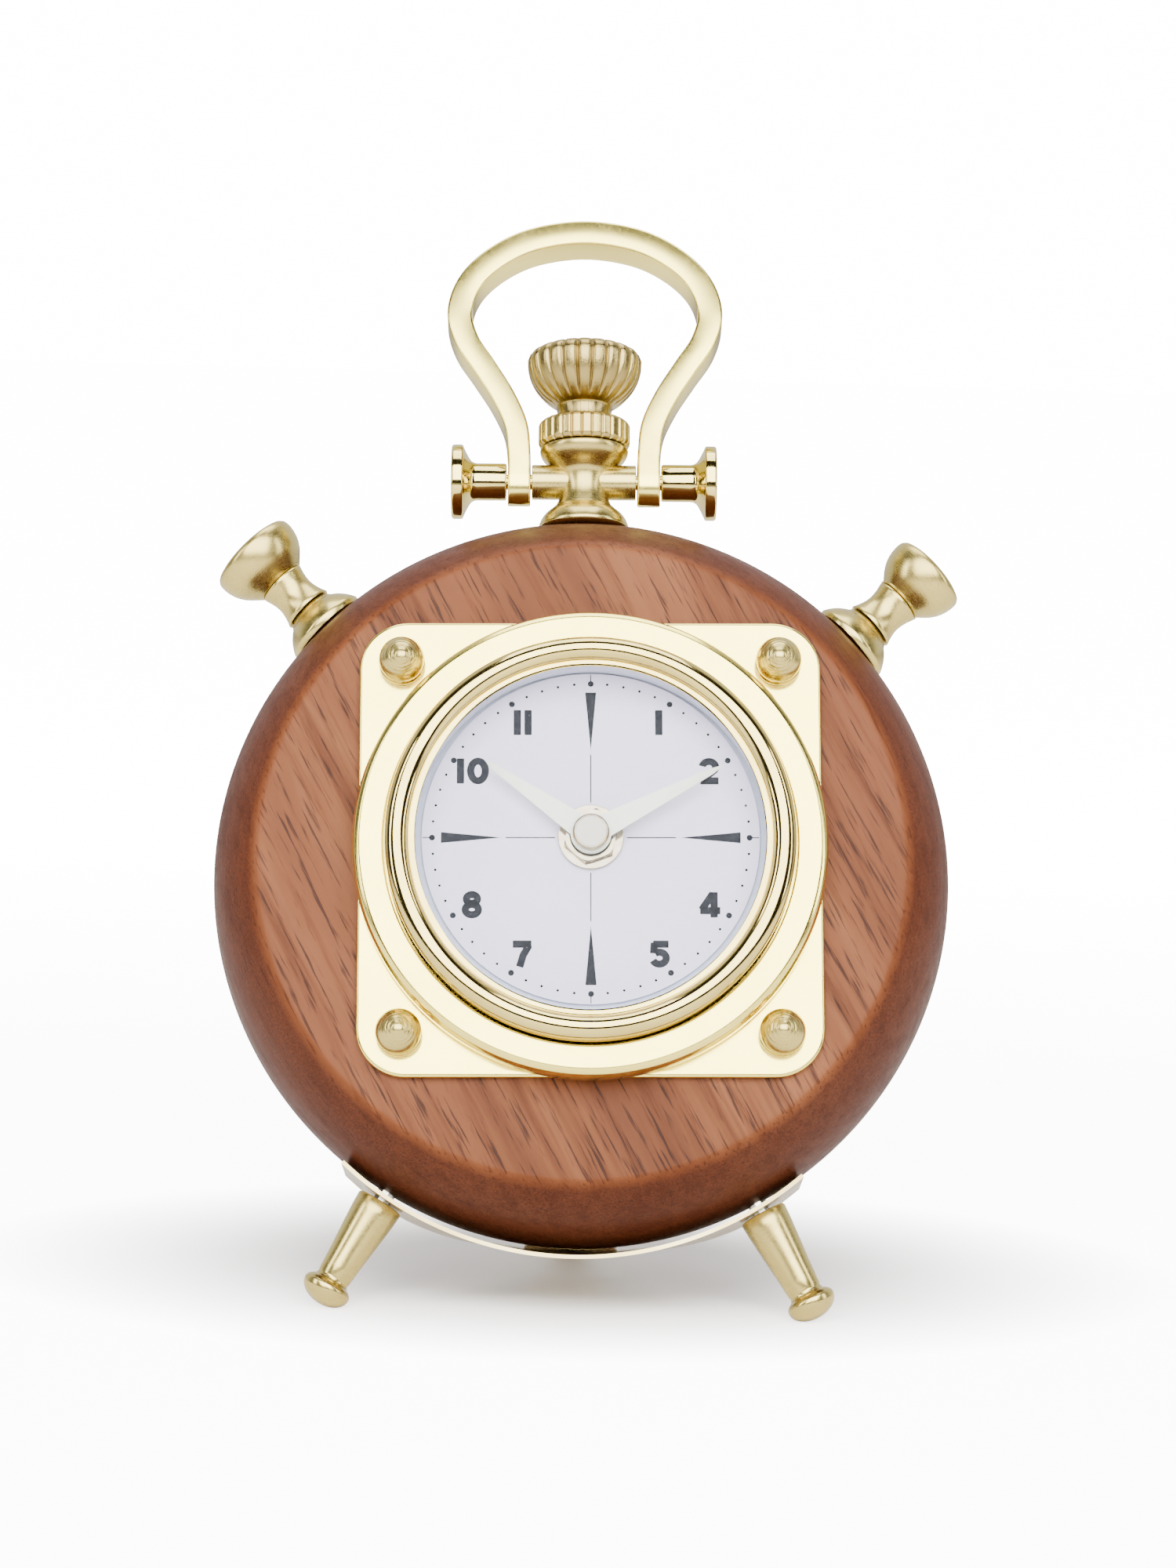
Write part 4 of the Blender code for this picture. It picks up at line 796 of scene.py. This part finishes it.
def make_neck():
    base = WOOD_R - 0.2
    neck = [(0, 93.6), (8.9, 93.6)] + arc(8.9, 93.15, 0.45, 90, 0, 5)
    neck += [(9.3, 92.7), (9.0, 91.9), (8.6, 91.3), (7.9, 90.6), (7.05, 89.9), (6.2, 89.2), (5.55, 88.4),
             (5.15, 87.4), (4.95, 86.3), (4.9, 85.2), (5.05, 83.8), (5.35, 82.3), (5.9, 81.1)]
    neck += [(5.9, 80.9), (6.1, 80.7), (6.6, 80.5)] + arc(4.2, 75.4, 5.4, 62.0, 10.0, 10)
    neck += [(9.4, base), (0, base)]
    belongs(revolve("neck_turning", neck, "satin", steps=112), "case", "brass_satin", "neck", "neck_stud")

    ridges = 27

    def knurl(angle, r, h):
        groove = max(0.0, 1.0 - abs(math.sin(ridges * angle / 2.0)) / 0.5)
        return r - 0.42 * groove * min(1.0, max(0.0, (r - 8.7) / 0.6))

    collar = soften([(2.4, 99.5), (9.0, 99.5), (9.7, 98.8), (9.7, 94.8), (9.1, 93.9), (2.4, 93.9)], 0.4, True)
    runs = zip(collar, collar[1:] + collar[:1])
    collar = [point for low, high in runs for point in between(low, high, 1.4)]
    belongs(revolve("knurled_collar", collar, "collar", steps=ridges * 16, shape=knurl),
            "case", "brass_satin", "neck_collar")

    def flute(angle, r, h):
        if r < 6.05:
            return r
        lobe = 1.0 - abs(math.sin(22 * angle / 2.0))
        low = min(1.0, max(0.0, (h - BOWL_BOTTOM_Z - 0.1) / 1.6))
        high = min(1.0, max(0.0, (CROWN_TOP_Z + 0.05 - h) / 0.9))
        wander = 0.05 * math.sin(3 * angle) + 0.04 * math.sin(7 * angle + 1.0)
        return r - (0.80 + wander) * lobe ** 2.2 * low * high

    bowl = [(0, CROWN_TOP_Z - 0.3), (5.0, CROWN_TOP_Z - 0.25), (8.5, CROWN_TOP_Z - 0.2),
            (10.3, CROWN_TOP_Z - 0.45),
            (11.2, CROWN_TOP_Z - 0.95), (11.8, CROWN_TOP_Z - 1.6)]
    depth = CROWN_RIM_Z - BOWL_BOTTOM_Z
    bowl_end = math.radians(31.9)
    for step in range(15):
        angle = math.radians(90.0 - 4.15 * step)
        fall = depth * math.cos(angle) / math.cos(bowl_end)
        bowl.append((CROWN_R * math.sin(angle), CROWN_RIM_Z - fall))
    bowl += [(6.1, BOWL_BOTTOM_Z - 0.1), (5.95, 102.7), (5.75, 101.8), (5.8, 100.6), (6.0, 99.8), (0, 99.8)]
    belongs(revolve("fluted_crown", bowl, "crown", steps=22 * 18, shape=flute),
            "case", "brass_satin", "crown", "crown_stud")

    reach = LEG_INNER_X - GAP
    tube = soften([(1.9, reach), (3.7, reach), (3.7, -reach), (1.9, -reach)], 0.25, True)
    belongs(revolve("cross_rod", tube, "satin", (0, 0, PIVOT_Z), ACROSS, 64),
            "case", "brass_satin", "cross_tube")


def between(first, second, step):
    """Splits a run into pieces no longer than step."""
    count = max(1, math.ceil((Vector(second) - Vector(first)).length / step))
    return [tuple(Vector(first).lerp(Vector(second), k / count)) for k in range(count)]


def bar_section(half_width, half_depth, corner, bends=4):
    points = []
    for quarter, (sx, sy) in enumerate([(1, 1), (-1, 1), (-1, -1), (1, -1)]):
        for step in range(bends + 1):
            angle = math.radians(90.0 * (quarter + step / bends))
            points.append((sx * (half_width - corner) + corner * math.cos(angle),
                           sy * (half_depth - corner) + corner * math.sin(angle)))
    return points


def make_handle():
    """The bow: one flat bar swept round a horseshoe. Its ends are rounded about the pivot."""
    end = -5.2
    eye_x = (LEG_INNER_X + LEG_OUTER_X) / 2.0
    half = [(eye_x, end), (eye_x, 0.0), (13.8, 6.0), (14.6, 12.2), (17.4, 18.8), (21.3, 25.4), (25.3, 32.0),
            (26.8, 38.9), (24.5, 46.0), (18.8, 52.0), (10.8, 56.2), (0.0, 57.9)]
    path = smooth_path(half + [(-x, z) for x, z in reversed(half[:-1])], 10)
    rings = []
    for index, point in enumerate(path):
        along = (path[min(index + 1, len(path) - 1)] - path[max(index - 1, 0)]).normalized()
        side = Vector((along.y, -along.x))
        low = min(1.0, max(0.0, (point.y - end) / -end))
        round_end = math.sqrt(max(0.0, 1.0 - (1.0 - low) ** 2))
        depth = HANDLE_DEPTH / 2.0 * max(round_end, 0.24)
        rise = min(1.0, max(0.0, point.y / half[-1][1]))
        width = (HANDLE_EYE + (HANDLE_BAR - HANDLE_EYE) * rise) / 2.0
        corner = min(0.55, depth * 0.8)
        section = bar_section(width, depth, corner)
        rings.append([(point.x + side.x * across, forward, point.y + side.y * across)
                      for across, forward in section])
    builder = bmesh.new()
    rows = strip(builder, rings)
    builder.faces.new(rows[0][::-1])
    builder.faces.new(rows[-1])
    bow = finished("bow_handle", builder, "bow", (0, 0, PIVOT_Z), (-math.radians(HANDLE_BACK), 0, 0), 60)
    belongs(bow, "handle", "brass_polished", "handle")

    shank = LEG_OUTER_X + GAP
    screw = [(0, 27.75), (4.0, 27.9), (7.2, 28.0)] + arc(7.3, 27.4, 0.6, 80.0, 0.0, 6)
    screw += arc(7.4, 26.0, 0.5, 0.0, -80.0, 5) + [(6.9, 25.25), (5.9, 24.75), (5.0, 24.25), (4.4, 23.8),
                                                   (4.05, 23.2), (3.95, 22.6), (3.95, shank + 0.3),
                                                   (3.75, shank), (1.6, shank), (1.6, 4.0), (0, 4.0)]
    for label, side in (("left", -1), ("right", 1)):
        piece = revolve("thumb_nut_" + label, screw, "mirror", (0, 0, PIVOT_Z),
                        (0.0, math.radians(90.0 * side), 0.0), 96, sharp=60)
        belongs(piece, "thumbscrew_" + label, "brass_polished", "thumbscrew_" + label)


# ---------------------------------------------------------------- side knobs, legs and strap

def make_side_knobs():
    base = WOOD_R - 0.6
    flange = [(2.3, 81.7), (4.5, 81.7), (5.0, 81.45), (5.4, 81.0)] + arc(0.0, 72.6, 9.8, 55.0, 24.0, 14)
    flange += [(8.9, base + 0.6), (8.7, base), (2.3, base)]
    stem = [(2.3, 89.95), (5.0, 89.95), (5.15, 89.75), (5.0, 89.2), (4.7, 88.2), (4.5, 87.1), (4.42, 86.0),
            (4.5, 85.0), (4.75, 83.9), (5.1, 82.8), (5.45, 82.0), (5.35, 81.8), (2.3, 81.8)]
    bell = [(0, 99.7), (5.0, 99.75), (8.4, 99.6), (9.2, 99.3), (9.6, 98.8), (9.72, 98.2), (9.7, 97.3),
            (9.55, 96.3),
            (9.25, 95.2), (8.75, 94.1), (8.1, 93.1), (7.3, 92.2), (6.4, 91.3), (5.7, 90.6), (5.3, 90.2),
            (5.1, 90.1), (2.3, 90.1), (2.3, 95.0), (0, 95.0)]
    for label, side, girth in (("left", -1, 1.0), ("right", 1, RIGHT_CUP)):
        aim = rim(side * KNOB_ANGLE)
        cup = [(r * (girth if r > 5.5 else 1.0), h) for r, h in bell]
        for kind, profile, node in (("base", flange, "knob_flange_"), ("stem", stem, "knob_stem_"),
                                    ("bell", cup, "knob_cup_")):
            piece = revolve("button_%s_%s" % (kind, label), profile, "satin", rotation=aim, steps=96,
                            sharp=55)
            belongs(piece, "case", "brass_satin", node + label)


def front_foot_low():
    upright = math.cos(math.radians(LEG_ANGLE)) * math.cos(math.radians(LEAN))
    support = math.hypot(FOOT_R * math.sqrt(1.0 - upright ** 2), FOOT_LOW * upright)
    return (LEG_BASE_R + LEG_TO_FOOT) * upright + support


def rear_leg_tilt():
    lean = math.radians(LEAN)
    base_z = REAR_LEG_Z * math.cos(lean) - (REAR_FLANGE_Y + GAP) * math.sin(lean)
    drop = 0.0
    for _ in range(20):
        support = math.hypot(FOOT_R * math.cos(drop), FOOT_LOW * math.sin(drop))
        drop = math.asin((base_z + front_foot_low() - support) / LEG_TO_FOOT)
    return LEAN - math.degrees(drop)


def make_legs():
    """Tapered legs with a groove above a flattened knob foot, which has a small worn flat on the floor."""
    ball = [(FOOT_R * math.cos(math.radians(a)), LEG_TO_FOOT + FOOT_LOW * math.sin(math.radians(a)))
            for a in range(90, 0, -5)]
    ball += [(FOOT_R * math.cos(math.radians(a)), LEG_TO_FOOT - FOOT_HIGH * math.sin(math.radians(a)))
             for a in range(0, 46, 5)]
    ball[0] = (0.0, ball[0][1])
    neck = LEG_TO_FOOT - FOOT_HIGH
    groove = [(3.55, neck + 0.45), (3.4, neck + 0.15), (3.4, neck - 0.2), (3.55, neck - 0.5)]
    shaft = [(3.68, 15.5), (3.9, 12.5), (4.2, 9.5), (4.5, 6.2), (4.78, 3.0), (4.92, 0.3), (4.7, 0.0),
             (0, 0.0)]
    rear = rear_leg_tilt()
    spots = []
    for label, degrees in (("left", 180.0 + LEG_ANGLE), ("right", 180.0 - LEG_ANGLE)):
        spots.append(("leg_" + label, "leg_front_" + label, rim_point(degrees, LEG_BASE_R), rim(degrees)))
    rear_base = (0, REAR_FLANGE_Y + GAP, REAR_LEG_Z)
    spots.append(("leg_back", "leg_rear", rear_base, (math.radians(-90.0 + rear), 0, 0)))
    for name, node, place, aim in spots:
        piece = revolve(name, ball + groove + shaft, "satin", place, aim, 96)
        to_world = piece.matrix_world
        to_local = to_world.inverted()
        for vert in piece.data.vertices:
            world = to_world @ vert.co
            if world.z < 0.0:
                world.z = 0.0
                vert.co = to_local @ world
        belongs(piece, "case", "brass_satin", node)


def make_strap():
    """Thin strip bent round the underside, its cut edges slightly uneven, with the rear leg's flange."""
    centre_z = STRAP_ARC_R - STRAP_DROP
    tilt = math.tan(math.radians(rear_leg_tilt()))
    builder = bmesh.new()
    columns, rows = 120, 8

    def ragged(k):
        return 0.035 * math.sin(k * 1.7) + 0.025 * math.sin(k * 4.3 + 1.0)

    def edge_ring(angle_index, across):
        angle = math.radians(STRAP_END_ANGLE * (2.0 * angle_index / columns - 1.0))
        y = across * STRAP_W / 2.0
        if abs(across) > 0.99:
            y += ragged(angle_index)
        share = math.cos(math.radians(90.0) * min(1.0, abs(math.degrees(angle)) / TILT_END_ANGLE)) ** 2
        lift = STRAP_TILT * (y + STRAP_W / 2.0) * share
        ends = []
        for radius in (STRAP_ARC_R, STRAP_ARC_R - STRAP_T):
            ends.append((radius * math.sin(angle), y, centre_z - radius * math.cos(angle) + lift))
        return ends

    rings = []
    for column in range(columns + 1):
        outer = [edge_ring(column, 2.0 * row / rows - 1.0)[0] for row in range(rows + 1)]
        inner = [edge_ring(column, 2.0 * row / rows - 1.0)[1] for row in range(rows + 1)]
        rings.append(outer + inner[::-1])
    placed = strip(builder, rings)
    builder.faces.new(placed[0][::-1])
    builder.faces.new(placed[-1])
    band = finished("strap_band", builder, "strap", sharp=40)
    belongs(band, "case", "brass_satin", "foot_strap")

    def flange_y(z):
        return REAR_FLANGE_Y - (z - REAR_LEG_Z) * tilt

    level = math.tan(math.radians(LEAN))
    start = STRAP_TILT * STRAP_W - STRAP_DROP
    low = start + (REAR_FLANGE_Y - STRAP_W / 2.0) * level
    bend = 1.6
    corner = Vector((flange_y(low), low))
    before = corner - Vector((1.0, level)).normalized() * bend
    after = corner + Vector((-tilt, 1.0)).normalized() * bend
    path = [(STRAP_W / 2.0 - 1.0, start - level + 0.3), (STRAP_W / 2.0 + 0.6, start + 0.6 * level)]
    path += [tuple(before.lerp(corner, t).lerp(corner.lerp(after, t), t))
             for t in (0.0, 0.25, 0.5, 0.75, 1.0)]
    path += [(flange_y(REAR_LEG_Z), REAR_LEG_Z), (flange_y(FLANGE_TOP_Z), FLANGE_TOP_Z)]
    half = 9.5
    rings = []
    for index, (y, z) in enumerate(path):
        before = Vector(path[max(index - 1, 0)])
        after = Vector(path[min(index + 1, len(path) - 1)])
        along = (after - before).normalized()
        inward = Vector((-along.y, along.x)) * STRAP_T
        narrow = half - (1.2 if index == len(path) - 1 else 0.0)
        rings.append([(-narrow, y, z), (narrow, y, z), (narrow, y + inward.x, z + inward.y),
                      (-narrow, y + inward.x, z + inward.y)])
    builder = bmesh.new()
    placed = strip(builder, rings)
    builder.faces.new(placed[0][::-1])
    builder.faces.new(placed[-1])
    belongs(finished("strap_tongue", builder, "strap", sharp=35), "case", "brass_satin")


# ---------------------------------------------------------------- quartz movement at the back

def movement_spot(x, y, height):
    return (SHAFT_X + x, -height, SHAFT_Z + y)


def make_movement():
    for node, width in (("movement_case", 0.35), ("movement_cover", 0.3)):
        bevel = frame["nodes"][node].modifiers.new("edge", "BEVEL")
        bevel.width = width * MM
        bevel.segments = 2
        bevel.limit_method = "ANGLE"
        bevel.angle_limit = math.radians(50.0)

    builder = bmesh.new()
    rear = -GAP + CASE_REAR - 1.3
    for line in range(5):
        y = 22.0 - 1.8 * line
        prism(builder, [(-23.0, y), (23.0, y), (23.0, y + 0.7), (-23.0, y + 0.7)], rear - 0.25, rear - 0.005)
    for start, end in ((20, 150), (200, 330)):
        ribbon(builder, turn_path(-8.46, 3.08, 7.4, 7.4, start, end, 24), 0.7, rear - 0.25, rear - 0.005)
        tip = math.radians(end + 4)
        cx, cy = -8.46 + 7.4 * math.cos(tip), 3.08 + 7.4 * math.sin(tip)
        along = Vector((-math.sin(tip), math.cos(tip)))
        side = Vector((along.y, -along.x))
        head = [Vector((cx, cy)) + along * 1.6, Vector((cx, cy)) - side * 1.2, Vector((cx, cy)) + side * 1.2]
        prism(builder, [tuple(point) for point in head], rear - 0.25, rear - 0.005)
    for x, cross in ((21.0, True), (-21.0, False)):
        ribbon(builder, [(x - 1.8, -6.5), (x + 1.8, -6.5)], 0.8, rear - 0.25, rear - 0.005)
        if cross:
            ribbon(builder, [(x, -6.0), (x, -4.7)], 0.8, rear - 0.25, rear - 0.005)
            ribbon(builder, [(x, -7.0), (x, -8.3)], 0.8, rear - 0.25, rear - 0.005)
    relief = finished("cover_relief", builder, "symbol", movement_spot(0, 0, 0), FACING, 30)
    belongs(relief, "case", "case_black")

    def grip(angle, r, h):
        groove = max(0.0, 1.0 - abs(math.sin(12.0 * angle)) / 0.45)
        return r - 0.35 * groove if r > 4.4 else r

    knob = soften([(1.2, -1.9), (4.6, -1.9), (5.0, -2.3), (5.0, -5.2), (4.6, -5.6), (1.2, -5.6)], 0.3, True)
    belongs(revolve("time_knob", knob, "black", movement_spot(-8.46, 3.08, 0), FACING, 24 * 12, grip),
            "motion", "case_black", "setting_knob")

    cell = [(0, 25.0), (2.3, 25.0), (2.6, 24.75), (2.6, 24.2), (5.6, 24.1), (6.4, 23.9), (6.9, 23.4),
            (BATTERY_R, 22.9),
            (BATTERY_R, -23.6), (6.8, -24.0), (6.2, -24.3), (0, -24.45)]
    belongs(revolve("cell", cell, "battery", movement_spot(0, BATTERY_Z, CASE_REAR + 6.5), ACROSS, 96,
                    sharp=60),
            "case", "battery_skin", "battery")


PLAIN_NODES = {
    "steel": ["knob_stud_left", "knob_stud_right", "leg_stud_left", "leg_stud_right", "leg_rear_screw",
              "battery_contact_plus", "battery_contact_minus", "minute_arbor", "stator"],
    "black": ["movement_case", "movement_cover"],
    "acetal": ["intermediate_wheel", "seconds_wheel", "third_wheel", "centre_wheel", "motion_wheel",
               "hour_wheel"],
    "board": ["circuit_board"],
    "copper": ["coil"],
    "magnet": ["rotor"],
    "rubber": ["rubber_washer"],
}


def dress_cad_nodes():
    for look, names in PLAIN_NODES.items():
        for name in names:
            node = frame["nodes"][name]
            node.data.materials.clear()
            node.data.materials.append(LOOK[look])


# ---------------------------------------------------------------- floor, light and camera

def make_floor():
    """A flat pale floor. To the camera it glows like a light table, a painted glow, with a painted shadow
    near the clock where that glow fades out; within it the floor's real shading shows.
    """
    builder = bmesh.new()
    bmesh.ops.create_grid(builder, x_segments=2, y_segments=2, size=8.0)
    mesh = bpy.data.meshes.new("studio_floor")
    builder.to_mesh(mesh)
    builder.free()
    floor = bpy.data.objects.new("studio_floor", mesh)
    bpy.context.collection.objects.link(floor)
    s = Shader("studio_floor")
    s.set(Base_Color=s.mix(s.noise(s.place, 40.0, 3.0), (0.82, 0.79, 0.76), (0.84, 0.81, 0.78)),
          Roughness=0.55)
    x, y, _ = s.split(s.place)
    far = s.radius(s.maths("MULTIPLY", x, 0.8), s.maths("MULTIPLY", s.maths("ADD", y, -0.008), 1.25))
    ray = s.node("ShaderNodeLightPath")
    # painted shadow: the camera-only glow is off close round the clock and rises to full a little further
    # out; a second painted glow brightens the floor far out towards the backdrop
    painted_shadow_r, shadow_fade_r, bright_glow = 0.030, 0.105, 10.0
    backdrop_low_r, backdrop_high_r, backdrop_glow = 0.3, 0.8, 5.0
    glow = s.maths("MULTIPLY", s.span(far, painted_shadow_r, shadow_fade_r, 0.0, 1.0),
                   s.span(far, painted_shadow_r, shadow_fade_r, 0.0, bright_glow))
    glow = s.maths("ADD", glow, s.span(far, backdrop_low_r, backdrop_high_r, 0.0, backdrop_glow))
    s.set(Emission_Color=(1.0, 1.0, 1.0, 1.0), Specular_IOR_Level=0.05)
    s.set(Emission_Strength=s.maths("MULTIPLY", glow, ray.outputs["Is Camera Ray"]))
    mesh.materials.append(s.material)


def area_light(name, place, aim, size, power, colour=(1.0, 1.0, 1.0)):
    data = bpy.data.lights.new(name, "AREA")
    data.shape = "RECTANGLE"
    data.size, data.size_y = size
    data.energy = power
    data.color = colour
    lamp = bpy.data.objects.new(name, data)
    bpy.context.collection.objects.link(lamp)
    lamp.location = place
    lamp.rotation_euler = (Vector(aim) - Vector(place)).to_track_quat("-Z", "Y").to_euler()
    return lamp


def make_light():
    world = bpy.data.worlds.new("studio")
    bpy.context.scene.world = world
    world.use_nodes = True
    tree = world.node_tree
    surround = tree.nodes["Background"]
    place = tree.nodes.new("ShaderNodeTexCoord")
    parts = tree.nodes.new("ShaderNodeSeparateXYZ")
    tree.links.new(place.outputs["Generated"], parts.inputs[0])
    behind = tree.nodes.new("ShaderNodeValToRGB")
    tree.links.new(parts.outputs["Y"], behind.inputs[0])
    stops = behind.color_ramp.elements
    stops[0].position, stops[0].color = 0.0, (0.02, 0.017, 0.012, 1.0)
    stops[1].position, stops[1].color = 0.45, (1.0, 1.0, 1.0, 1.0)
    surround.inputs["Strength"].default_value = 1.3
    tree.links.new(behind.outputs[0], surround.inputs["Color"])
    seen = tree.nodes.new("ShaderNodeBackground")
    seen.inputs["Color"].default_value = (1.0, 1.0, 1.0, 1.0)
    seen.inputs["Strength"].default_value = 16.0
    ray = tree.nodes.new("ShaderNodeLightPath")
    pick = tree.nodes.new("ShaderNodeMixShader")
    tree.links.new(ray.outputs["Is Camera Ray"], pick.inputs[0])
    tree.links.new(surround.outputs[0], pick.inputs[1])
    tree.links.new(seen.outputs[0], pick.inputs[2])
    tree.links.new(pick.outputs[0], tree.nodes["World Output"].inputs["Surface"])
    middle = (0.0, 0.0, 0.1)
    area_light("front_box", (0.05, -1.1, 0.88), middle, (1.75, 1.15), 68.0)
    area_light("left_box", (-0.95, -0.45, 0.55), middle, (0.22, 0.8), 6.0)
    area_light("right_box", (0.95, -0.30, 0.50), middle, (0.18, 0.8), 4.0)
    area_light("top_box", (0.0, 0.15, 1.25), middle, (0.9, 0.7), 12.0)


def make_camera():
    data = bpy.data.cameras.new("camera")
    data.lens = LENS_LENGTH
    data.sensor_width = 36.0
    camera = bpy.data.objects.new("camera", data)
    bpy.context.collection.objects.link(camera)
    pitch = math.radians(CAMERA_ELEVATION)
    backward = Vector((0.0, -math.cos(pitch), math.sin(pitch)))
    upward = Vector((0.0, math.sin(pitch), math.cos(pitch)))
    aim = DISC.translation + upward * AIM_ABOVE + Vector((AIM_RIGHT, 0.0, 0.0))
    camera.location = aim + backward * CAMERA_DISTANCE
    tilt = Euler((math.radians(90.0) - pitch, 0.0, 0.0)).to_matrix()
    roll = Matrix.Rotation(math.radians(CAMERA_ROLL), 3, "Z")
    camera.rotation_euler = (tilt @ roll).to_euler()
    bpy.context.scene.camera = camera


make_camera()
make_light()
make_floor()
make_wood()
turned_on_disc(DIAL_TURN, make_bezel, make_dial, make_hands, make_movement)
turned_on_disc(NECK_TURN, make_neck, make_handle)
make_side_knobs()
make_legs()
make_strap()
dress_cad_nodes()
